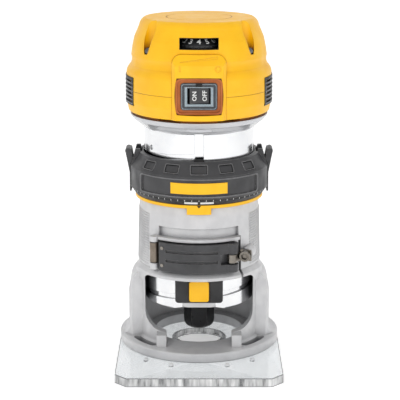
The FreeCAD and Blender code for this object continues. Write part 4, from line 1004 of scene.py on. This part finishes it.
def pebble_tree(paint: bpy.types.Material) -> Tree:
    """Tree that studs the sides of a tapering sleeve with low round pebbles.

    Args:
        paint: material of the pebbles.

    Returns:
        A tree with the inputs Low, High, Low Radius, High Radius, Rows, Columns, Start and Sweep.
    """
    tree, source, target = geometry_tree("pebbled_grip", {
        "Low": ("NodeSocketFloat", 0.058), "High": ("NodeSocketFloat", 0.093),
        "Low Radius": ("NodeSocketFloat", 0.03875), "High Radius": ("NodeSocketFloat", 0.0377),
        "Rows": ("NodeSocketInt", 22), "Columns": ("NodeSocketInt", 50),
        "Start": ("NodeSocketFloat", -0.72), "Sweep": ("NodeSocketFloat", 2.0)})
    out = source.outputs
    grid = add(tree, "GeometryNodeMeshGrid", {
        "Size X": 1.0, "Size Y": 1.0, "Vertices X": out["Columns"], "Vertices Y": out["Rows"]})
    flat = add(tree, "ShaderNodeSeparateXYZ", {0: add(tree, "GeometryNodeInputPosition").outputs[0]})
    along = math_node(tree, "ADD", flat.outputs["X"], 0.5)
    up = math_node(tree, "ADD", flat.outputs["Y"], 0.5)
    turn = math_node(tree, "MULTIPLY_ADD", along, out["Sweep"])
    turn.node.inputs[2].default_value = 0.0
    tree.links.new(out["Start"], turn.node.inputs[2])
    reach = add(tree, "ShaderNodeMapRange", {
        "Value": up, "To Min": out["Low Radius"], "To Max": out["High Radius"]}).outputs["Result"]
    level = add(tree, "ShaderNodeMapRange", {
        "Value": up, "To Min": out["Low"], "To Max": out["High"]}).outputs["Result"]
    spot = add(tree, "ShaderNodeCombineXYZ", {
        "X": math_node(tree, "MULTIPLY", reach, math_node(tree, "COSINE", turn)),
        "Y": math_node(tree, "MULTIPLY", reach, math_node(tree, "SINE", turn)), "Z": level})
    bent = add(tree, "GeometryNodeSetPosition", {
        "Geometry": grid.outputs["Mesh"], "Position": spot.outputs[0]})
    out_way = add(tree, "ShaderNodeVectorMath", {
        0: add(tree, "GeometryNodeInputPosition").outputs[0], 1: (1.0, 1.0, 0.0)}, operation="MULTIPLY")
    facing = add(tree, "FunctionNodeAlignRotationToVector", {"Vector": out_way.outputs[0]}, axis="Z")
    pebble = add(tree, "GeometryNodeMeshUVSphere", {"Segments": 8, "Rings": 4, "Radius": PEBBLE_RADIUS})
    low = moved(tree, pebble.outputs["Mesh"], Scale=(1.0, 1.0, PEBBLE_SQUASH))
    copies = add(tree, "GeometryNodeInstanceOnPoints", {
        "Points": bent.outputs[0], "Instance": low, "Rotation": facing.outputs[0]})
    close_tree(tree, target, copies.outputs[0], paint, smooth=True)
    return tree


# ---------------------------------------------------------------------------
# Sub-assemblies
# ---------------------------------------------------------------------------
@dataclass
class SubAssembly:
    """A group of pieces that share one source of materials.

    Args:
        paints: source of materials.
    """

    paints: Paints

    def piece(self, name: str, bm: bmesh.types.BMesh, body: str, slot: Slot,
              trim: Optional[Trim] = None, smooth_deg: float = 35.0) -> bpy.types.Object:
        """Close a bmesh and set it on a body.

        Args:
            name: piece name.
            bm: source, freed here.
            body: CAD body that carries the piece.
            slot: record slot that the piece belongs to.
            trim: finish to use in place of the slot's own.
            smooth_deg: edges sharper than this stay sharp.

        Returns:
            The new object.
        """
        return settle(name, mesh_from(name, bm, smooth_deg), body, slot, self.paints, trim)


@dataclass
class HeightRing(SubAssembly):
    """Trim of the height ring: framed panel, pad outlines, top catch and zero marks.

    Args:
        radius: outside radius of the ring.
        frame_wide: width of the framed panel along the ring.
        frame_tall: height of the framed panel.
        frame_middle: height of the middle of the panel.
        ridge: width of the raised frame line.
        bevel_low: radius and height where the bevel starts.
        bevel_high: radius and height where it ends.
        pad_wide: width of a bevel pad.
        pad_step_deg: turn between two pads.
        ticks: zero marks round the scale ring.
    """

    radius: float = 0.0435
    frame_wide: float = 0.0850
    frame_tall: float = 0.0116
    frame_middle: float = 0.1142
    ridge: float = 0.0007
    bevel_low: Point = (0.0435, 0.1210)
    bevel_high: Point = (0.0380, 0.1295)
    pad_wide: float = 0.0100
    pad_step_deg: float = 24.0
    ticks: int = 60

    def on_bevel(self, turn_deg: float) -> Place:
        """Lay an outline on the bevel at a turn from the front; up runs up the slope."""
        (r0, z0), (r1, z1) = self.bevel_low, self.bevel_high
        length = math.hypot(r1 - r0, z1 - z0)
        slope = ((r1 - r0) / length, (z1 - z0) / length)
        middle = ((r0 + r1) / 2, (z0 + z1) / 2)

        def place(across: float, up: float, depth: float) -> Vector:
            reach = middle[0] + slope[0] * up + slope[1] * depth
            level = middle[1] + slope[1] * up - slope[0] * depth
            turn = math.radians(turn_deg) + across / reach
            return Vector((reach * math.sin(turn), -reach * math.cos(turn), level))
        return place

    def frame_line(self) -> None:
        """Raised line round the framed panel, paler as a painted highlight."""
        bm = bmesh.new()
        middle = (0.0, self.frame_middle)
        outer = soft_rectangle(self.frame_wide, self.frame_tall, 0.002, middle)
        inner = scaled(outer, middle, self.ridge, self.frame_wide, self.frame_tall)
        hoop(bm, outer, inner, -0.0004, 0.00035, on_drum(self.radius))
        self.piece("ring_frame_line", bm, "ring", Slot.DARK, Trim.RAISED_GREY)

    def pads(self) -> None:
        """Painted highlight on the lip and painted shade on the floor of each pad on the bevel: a pale lip
        and a near-black floor.
        """
        lips, floors = bmesh.new(), bmesh.new()
        for step in range(-2, 3):
            wide = self.pad_wide * (1.08 if step == 0 else 0.96)
            tall = 0.0066 if step == 0 else 0.0060
            place = self.on_bevel(self.pad_step_deg * step)
            outer = soft_rectangle(wide, tall, 0.0009)
            inner = scaled(outer, (0.0, 0.0), 0.00035, wide, tall)
            hoop(lips, outer, inner, -0.0003, 0.00018, place)
            gap_out = scaled(outer, (0.0, 0.0), 0.0004, wide, tall)
            gap_in = scaled(outer, (0.0, 0.0), 0.0009, wide, tall)
            hoop(floors, gap_out, gap_in, -0.0006, -0.00025, place)
        self.piece("ring_pad_lips", lips, "ring", Slot.DARK, Trim.RAISED_GREY)
        self.piece("ring_pad_gaps", floors, "ring", Slot.BLACK, Trim.PITCH)

    def catch(self) -> None:
        """Small black catch that stands on the top edge at the front."""
        bm = bmesh.new()
        loop = soft_rectangle(0.0064, 0.0024, 0.0007, (0.0, 0.1296))
        slab(bm, loop, -0.0012, 0.0012, on_drum(0.0366))
        self.piece("ring_catch", bm, "ring", Slot.BLACK, Trim.PITCH)

    def zero_marks(self) -> None:
        """White ticks round the scale ring and two long bars at the front."""
        low, high = (0.0404, 0.1034), (0.0419, 0.1056)
        tree = ring_tree(self.paints.get(Trim.WHITE_INK))
        mesh = bake_nodes("scale_ticks", tree, {
            "Count": self.ticks, "Radius": high[0] + 0.00001, "Height": 0.10625,
            "Size": (0.00008, 0.00032, 0.0009), "Turn": math.radians(90.0)})
        settle("scale_ticks", mesh, "zero_ring", Slot.BLACK, self.paints, Trim.WHITE_INK)
        bm = bmesh.new()
        slope = (high[0] - low[0]) / (high[1] - low[1])

        def on_cone(across: float, up: float, depth: float) -> Vector:
            reach = low[0] + (up - low[1]) * slope + depth
            turn = across / reach
            return Vector((reach * math.sin(turn), -reach * math.cos(turn), up))
        for side in (-1, 1):
            loop = soft_rectangle(0.0082, 0.0013, 0.0003, (side * 0.0049, 0.1047))
            slab(bm, loop, -0.0001, 0.00008, on_cone)
        self.piece("zero_bars", bm, "zero_ring", Slot.BLACK, Trim.WHITE_INK)

    def pointer(self) -> None:
        """Small dark arrow on the yellow pointer ring."""
        bm = bmesh.new()
        loop = [(-0.0013, 0.1028), (0.0013, 0.1028), (0.0, 0.1012)]
        slab(bm, loop, -0.0001, 0.00008, on_drum(0.0402))
        self.piece("pointer_arrow", bm, "base", Slot.BLACK, Trim.PITCH)

    def build(self) -> None:
        """Make every piece of the ring's trim."""
        self.frame_line()
        self.pads()
        self.catch()
        self.zero_marks()
        self.pointer()


@dataclass
class SwitchFace(SubAssembly):
    """Trim of the switch: painted-shadow lip, frame lines, top notch and the marks on the rocker.

    Args:
        middle: height of the switch.
        floor: y of the sunk field.
        lip_wide: width of the painted-shadow lip.
        lip_tall: height of the painted-shadow lip.
        frame_wide: width of the slate frame.
        frame_tall: height of the slate frame.
        frame_front: y of the front of the slate frame.
    """

    middle: float = 0.1705
    floor: float = -0.0436
    lip_wide: float = 0.0278
    lip_tall: float = 0.0214
    frame_wide: float = 0.0216
    frame_tall: float = 0.0160
    frame_front: float = -0.0450

    def lip(self) -> None:
        """Amber-brown sheet of painted shadow that fills the sunk field round the frame, where the yellow
        lies in shade.
        """
        bm = bmesh.new()
        middle = (0.0, self.middle)
        outer = soft_rectangle(self.lip_wide, self.lip_tall, 0.0030, middle)
        inner = soft_rectangle(self.frame_wide + 0.0003, self.frame_tall + 0.0003, 0.0017, middle)
        hoop(bm, outer, inner, 0.00002, 0.0006, on_wall(self.floor))
        rim = scaled(outer, middle, 0.0009, self.lip_wide, self.lip_tall)
        hoop(bm, outer, rim, 0.00055, 0.0017, on_wall(self.floor))
        self.piece("switch_lip", bm, "motor", Slot.YELLOW, Trim.SHADOW_LIP)

    def lines(self) -> None:
        """Pale line moulded round the slate frame."""
        bm = bmesh.new()
        middle = (0.0, self.middle)
        wide, tall = self.frame_wide - 0.0010, self.frame_tall - 0.0010
        outer = soft_rectangle(wide, tall, 0.0012, middle)
        inner = scaled(outer, middle, 0.0003, wide, tall)
        hoop(bm, outer, inner, -0.0001, 0.0001, on_wall(self.frame_front))
        self.piece("switch_frame_line", bm, "motor", Slot.BOOT)

    def notch(self) -> None:
        """Dark catch at the top of the slate frame."""
        bm = bmesh.new()
        slab(bm, soft_rectangle(0.0040, 0.0019, 0.0004, (0.0, self.middle + 0.0070)), -0.0001, 0.00035,
             on_wall(self.frame_front))
        self.piece("switch_catch", bm, "motor", Slot.BLACK, Trim.PITCH)

    def marks(self) -> None:
        """White on and off words, read upward, one on each wing of the rocker."""
        bm = bmesh.new()
        wings = (("ON", Vector((-0.0047, -0.04576, 0.0)), Vector((0.0003, -0.04435, 0.0))),
                 ("OFF", Vector((0.0, -0.0443, 0.0)), Vector((0.0056, -0.0440, 0.0))))
        for words, start, end in wings:
            letters = lettering(words, 0.0026, 0.00012)
            along = (end - start).normalized()
            out = Vector((along.y, -along.x, 0.0))
            up = Vector((0.0, 0.0, 1.0))
            spot = start + (end - start) * (0.42 if words == "ON" else 0.62)
            spot.z = self.middle + 0.0004
            turn = Matrix((up, -along, out)).transposed().to_4x4()
            merge_in(bm, letters, Matrix.Translation(spot + out * 0.00003) @ turn)
        self.piece("rocker_words", bm, "rocker", Slot.DARK, Trim.WHITE_INK)

    def build(self) -> None:
        """Make every piece of the switch's trim."""
        self.lip()
        self.lines()
        self.notch()
        self.marks()


@dataclass
class SpeedDial(SubAssembly):
    """Trim of the speed dial: numbers on its slope, finger ribs and the dark window round it.

    Args:
        axis_y: y of the dial's axis.
        foot: radius and height where the slope starts.
        crest: radius and height where it ends.
        numbers: how many speed numbers.
        window_half: half the width of the window.
        window_low: lower edge of the window.
        window_high: upper edge of the window.
    """

    axis_y: float = -0.0279
    foot: Point = (0.0115, 0.1996)
    crest: Point = (0.0069, 0.2039)
    numbers: int = 7
    window_half: float = 0.0116
    window_low: float = 0.1976
    window_high: float = 0.2043

    def figures(self) -> None:
        """Numbers fanned round the slope of the dial."""
        bm = bmesh.new()
        (r0, z0), (r1, z1) = self.foot, self.crest
        length = math.hypot(r1 - r0, z1 - z0)
        for index in range(self.numbers):
            turn = math.radians(32.0 * (index - (self.numbers - 1) / 2))
            round_way = Vector((math.cos(turn), math.sin(turn), 0.0))
            rise = Vector(((r1 - r0) / length * math.sin(turn), -(r1 - r0) / length * math.cos(turn),
                           (z1 - z0) / length))
            out = round_way.cross(rise)
            reach, level = (r0 * 0.48 + r1 * 0.52), (z0 * 0.48 + z1 * 0.52)
            spot = Vector((reach * math.sin(turn), self.axis_y - reach * math.cos(turn), level))
            basis = Matrix((round_way, rise, out)).transposed().to_4x4()
            merge_in(bm, lettering(str(index + 1), 0.0036, 0.00012), Matrix.Translation(spot) @ basis)
        self.piece("dial_numbers", bm, "dial", Slot.BLACK, Trim.WHITE_INK)

    def shroud(self) -> None:
        """Dark frame that lines the window in the cap."""
        bm = bmesh.new()
        half, low, high = self.window_half - 0.00002, self.window_low + 0.00002, self.window_high - 0.00002
        wall = 0.0002
        outer = [(half, low), (half, high), (-half, high), (-half, low)]
        inner = [(half - wall, low + wall), (half - wall, high - wall), (-half + wall, high - wall),
                 (-half + wall, low + wall)]

        def in_cap(across: float, up: float, depth: float) -> Vector:
            """Follow the cap's wall: depth 0 is behind it and depth 1 is flush with its outside."""
            reach = 0.0410 - (up - 0.1976) * 0.30
            front = math.sqrt(reach * reach - across * across) - 0.0002
            return Vector((across, -(0.0338 + (front - 0.0338) * depth), up))
        hoop(bm, divided(outer), divided(inner), 0.0, 1.0, in_cap)
        self.piece("dial_window_frame", bm, "motor", Slot.BLACK, Trim.PITCH)

    def housing(self) -> None:
        """Dark cup behind the window that hides the inside of the cap."""
        bm = bmesh.new()
        lathe(bm, [(0.0124, 0.1970), (0.0128, 0.1970), (0.0128, 0.2046), (0.0124, 0.2046)], start=-10.0,
              sweep=200.0, steps=64)
        bmesh.ops.translate(bm, verts=bm.verts, vec=(0.0, self.axis_y, 0.0))
        lid = [(0.0126 * math.cos(math.radians(a)), max(0.0126 * math.sin(math.radians(a)), -0.0064))
               for a in range(0, 360, 6)]
        rows = []
        for level in (0.2044, 0.2046):
            rows.append([bm.verts.new((x, self.axis_y + y, level)) for x, y in lid])
        for index in range(len(lid)):
            follow = (index + 1) % len(lid)
            bm.faces.new((rows[0][index], rows[0][follow], rows[1][follow], rows[1][index]))
        bm.faces.new(rows[1])
        bm.faces.new(list(reversed(rows[0])))
        self.piece("dial_cup", bm, "motor", Slot.BLACK, Trim.PITCH)

    def build(self) -> None:
        """Make every piece of the dial's trim."""
        self.figures()
        self.shroud()
        self.housing()


@dataclass
class Fasteners(SubAssembly):
    """Screws with real recesses that stand for the plain ones of the frame.

    Args:
        across: distance between two wells, left to right.
        along: distance between two wells, front to back.
        floor: height of the floor of the wells, with a hair of clearance.
        head: radius of a screw head.
        thick: height of a screw head.
        recess: outer radius of its six-point recess.
    """

    across: float = 0.058
    along: float = 0.048
    floor: float = 0.19302
    head: float = 0.0036
    thick: float = 0.0030
    recess: float = 0.0019

    def build(self) -> None:
        """Heads in the wells of the cap."""
        tree = screw_tree(self.paints.get(Trim.WELL_SCREW))
        mesh = bake_nodes("well_screw_heads", tree, {
            "Across": self.across, "Along": self.along, "Floor": self.floor,
            "Head": self.head, "Thick": self.thick, "Recess": self.recess})
        piece = settle("well_screw_heads", mesh, "motor", Slot.BRIGHT, self.paints, Trim.WELL_SCREW)
        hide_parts("cap_screws")


@dataclass
class CastSleeve(SubAssembly):
    """Pebbled grips cast into both sides of the sleeve.

    Args:
        low: height of the lowest row.
        high: height of the highest row.
        start_deg: turn from the right-hand side toward the front where the field starts.
        sweep_deg: turn covered by one field.
        rows: pebbles up each field.
        columns: pebbles round each field.
    """

    low: float = 0.0610
    high: float = 0.0930
    start_deg: float = -34.0
    sweep_deg: float = 112.0
    rows: int = 21
    columns: int = 46

    def build(self) -> None:
        """Make the two fields as one piece."""
        tree = pebble_tree(self.paints.get(Slot.CAST))
        bm = bmesh.new()
        for side in (1, -1):
            start = self.start_deg if side == 1 else 180.0 - self.start_deg - self.sweep_deg
            mesh = bake_nodes("grip_field", tree, {
                "Low": self.low, "High": self.high, "Low Radius": 0.03865, "High Radius": 0.03778,
                "Rows": self.rows, "Columns": self.columns,
                "Start": math.radians(start), "Sweep": math.radians(self.sweep_deg)})
            bm.from_mesh(mesh)
            bpy.data.meshes.remove(mesh)
        self.piece("grip_pebbles", bm, "base", Slot.CAST, smooth_deg=80.0)


@dataclass
class Grilles(SubAssembly):
    """Fine slats across both intake grilles, paler than the grille as a painted highlight.

    Args:
        radius: radius on which the slats lie.
        slats: slats on each grille.
        first: top of the lowest slat.
        step: rise from one slat to the next.
        thick: thickness of a slat.
        half_deg: turn from the middle of a grille to its end.
    """

    radius: float = 0.04545
    slats: int = 6
    first: float = 0.16245
    step: float = 0.0025
    thick: float = 0.0005
    half_deg: float = 27.4

    def build(self) -> None:
        """Make the slats of both sides as one piece."""
        bm = bmesh.new()
        inside, outside = self.radius - 0.0001, self.radius + 0.0002
        for row in range(self.slats):
            level = self.first + self.step * row
            for middle in (0.0, 180.0):
                lathe(bm, [(inside, level), (outside, level),
                           (outside, level - self.thick), (inside, level - self.thick)],
                      start=middle - self.half_deg, sweep=2 * self.half_deg, steps=40)
        self.piece("grille_slats", bm, "motor", Slot.BLACK, Trim.RAISED_GREY)


# ---------------------------------------------------------------------------
# Studio
# ---------------------------------------------------------------------------
@dataclass
class Studio:
    """Floor, lights and camera.

    Args:
        eye_y: camera distance in front of the motor axis.
        eye_z: camera height.
        pitch_deg: how far the camera looks down.
        lens_mm: focal length on a 36 mm sensor.
        aim_x: sideways place of the camera.
        room: brightness of the surrounding room.
        mirror: brightness of the room where metal mirrors it.
        bays: pairs of turn about the object, from 0 behind it through 0.5 in front, and grey level.
    """

    eye_y: float = -0.8226
    eye_z: float = 0.3038
    pitch_deg: float = 14.15
    lens_mm: float = 120.0
    aim_x: float = 0.0006
    room: float = 0.66
    mirror: float = 0.92
    bays: tuple = ((0.0, 0.85), (0.06, 0.80), (0.09, 0.28), (0.14, 0.30), (0.17, 0.62), (0.27, 0.70),
                   (0.29, 1.0), (0.36, 1.0), (0.38, 0.72), (0.47, 0.78), (0.62, 0.74), (0.635, 1.0),
                   (0.66, 1.0), (0.68, 0.58), (0.83, 0.62), (0.86, 0.26), (0.92, 0.30), (0.95, 0.80))

    def camera(self) -> None:
        """Make the camera and set it as the scene's."""
        data = bpy.data.cameras.new("camera")
        data.lens = self.lens_mm
        data.sensor_width = 36.0
        data.clip_start = 0.01
        data.clip_end = 50.0
        cam = bpy.data.objects.new("camera", data)
        cam.location = (self.aim_x, self.eye_y, self.eye_z)
        cam.rotation_euler = (math.radians(90 - self.pitch_deg), 0.0, 0.0)
        bpy.context.scene.collection.objects.link(cam)
        bpy.context.scene.camera = cam

    def lamp(self, name: str, place: tuple[float, float, float], size: tuple[float, float],
             watts: float, aim: tuple[float, float, float] = (0.0, 0.0, 0.11)) -> None:
        """Add one soft box that points at the object.

        Args:
            name: lamp name.
            place: where it stands.
            size: width and height.
            watts: power.
            aim: point that it faces.
        """
        data = bpy.data.lights.new(name, "AREA")
        data.shape = "RECTANGLE"
        data.size, data.size_y = size
        data.energy = watts
        obj = bpy.data.objects.new(name, data)
        obj.location = place
        obj.rotation_euler = (Vector(aim) - Vector(place)).to_track_quat("-Z", "Y").to_euler()
        obj.visible_glossy = False
        bpy.context.scene.collection.objects.link(obj)

    def floor(self) -> None:
        """Lay a pale floor that curves up into a back wall, as one sweep."""
        bm = bmesh.new()
        outline = [(-6.0, 0.0), (1.6, 0.0)]
        for step in range(1, 13):
            turn = math.radians(90 * step / 12)
            outline.append((1.6 + 0.8 * math.sin(turn), 0.8 - 0.8 * math.cos(turn)))
        outline.append((2.4, 5.0))
        rows = [[bm.verts.new((x, y, z)) for x in (-6.0, 6.0)] for y, z in outline]
        for near, far in zip(rows, rows[1:]):
            bm.faces.new((near[0], near[1], far[1], far[0]))
        mesh = bpy.data.meshes.new("floor")
        for face in bm.faces:
            face.smooth = True
        bm.to_mesh(mesh)
        bm.free()
        obj = bpy.data.objects.new("floor", mesh)
        bpy.context.scene.collection.objects.link(obj)
        material = bpy.data.materials.new("matt_white_paper")
        material.use_nodes = True
        shader = material.node_tree.nodes["Principled BSDF"]
        shader.inputs["Base Color"].default_value = linear("FBFBFB")
        shader.inputs["Roughness"].default_value = 0.9
        shader.inputs["Specular IOR Level"].default_value = 0.1
        shader.inputs["Emission Color"].default_value = (1.0, 1.0, 1.0, 1.0)
        shader.inputs["Emission Strength"].default_value = 0.34
        mesh.materials.append(material)

    def surround(self) -> None:
        """Light the room softly, with grey bays round it for metal to mirror."""
        world = bpy.data.worlds.new("studio")
        world.use_nodes = True
        tree = world.node_tree
        tree.nodes.clear()
        way = add(tree, "ShaderNodeSeparateXYZ", {0: add(tree, "ShaderNodeTexCoord").outputs["Generated"]})
        front = math_node(tree, "MULTIPLY", way.outputs["Y"], -1.0)
        turn = math_node(tree, "ARCTAN2", way.outputs["X"], front)
        share = math_node(tree, "ADD", math_node(tree, "DIVIDE", turn, 2 * math.pi), 0.5)
        level = ramp(tree, share, list(self.bays))
        glossy = add(tree, "ShaderNodeLightPath").outputs["Is Glossy Ray"]
        lift = math_node(tree, "MULTIPLY", glossy, self.mirror - self.room)
        strength = math_node(tree, "ADD", lift, self.room)
        back = add(tree, "ShaderNodeBackground", {"Color": level, "Strength": strength})
        out = add(tree, "ShaderNodeOutputWorld")
        tree.links.new(back.outputs[0], out.inputs["Surface"])
        bpy.context.scene.world = world

    def build(self) -> None:
        """Set up the whole studio."""
        self.surround()
        bpy.context.scene.view_settings.view_transform = "Standard"
        self.floor()
        self.lamp("key", (-0.55, -1.2, 0.95), (0.8, 0.8), 5.2)
        self.lamp("fill", (0.85, -1.05, 0.6), (0.8, 0.9), 3.2)
        self.lamp("top", (0.0, 0.1, 1.5), (1.0, 0.8), 2.6)
        self.lamp("front", (0.0, -1.9, 0.35), (0.5, 0.8), 2.2)
        self.camera()


def main() -> None:
    """Build the studio, dress the frame and add the fine detail in order."""
    logging.basicConfig(level=logging.INFO, format="%(message)s")
    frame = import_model()
    paints = Paints()
    Studio().build()
    paints.coat_frame(frame)
    for part in (HeightRing(paints), SwitchFace(paints), SpeedDial(paints), Fasteners(paints),
                 CastSleeve(paints), Grilles(paints)):
        LOG.info("building %s", type(part).__name__)
        part.build()


if __name__ == "__main__":
    main()
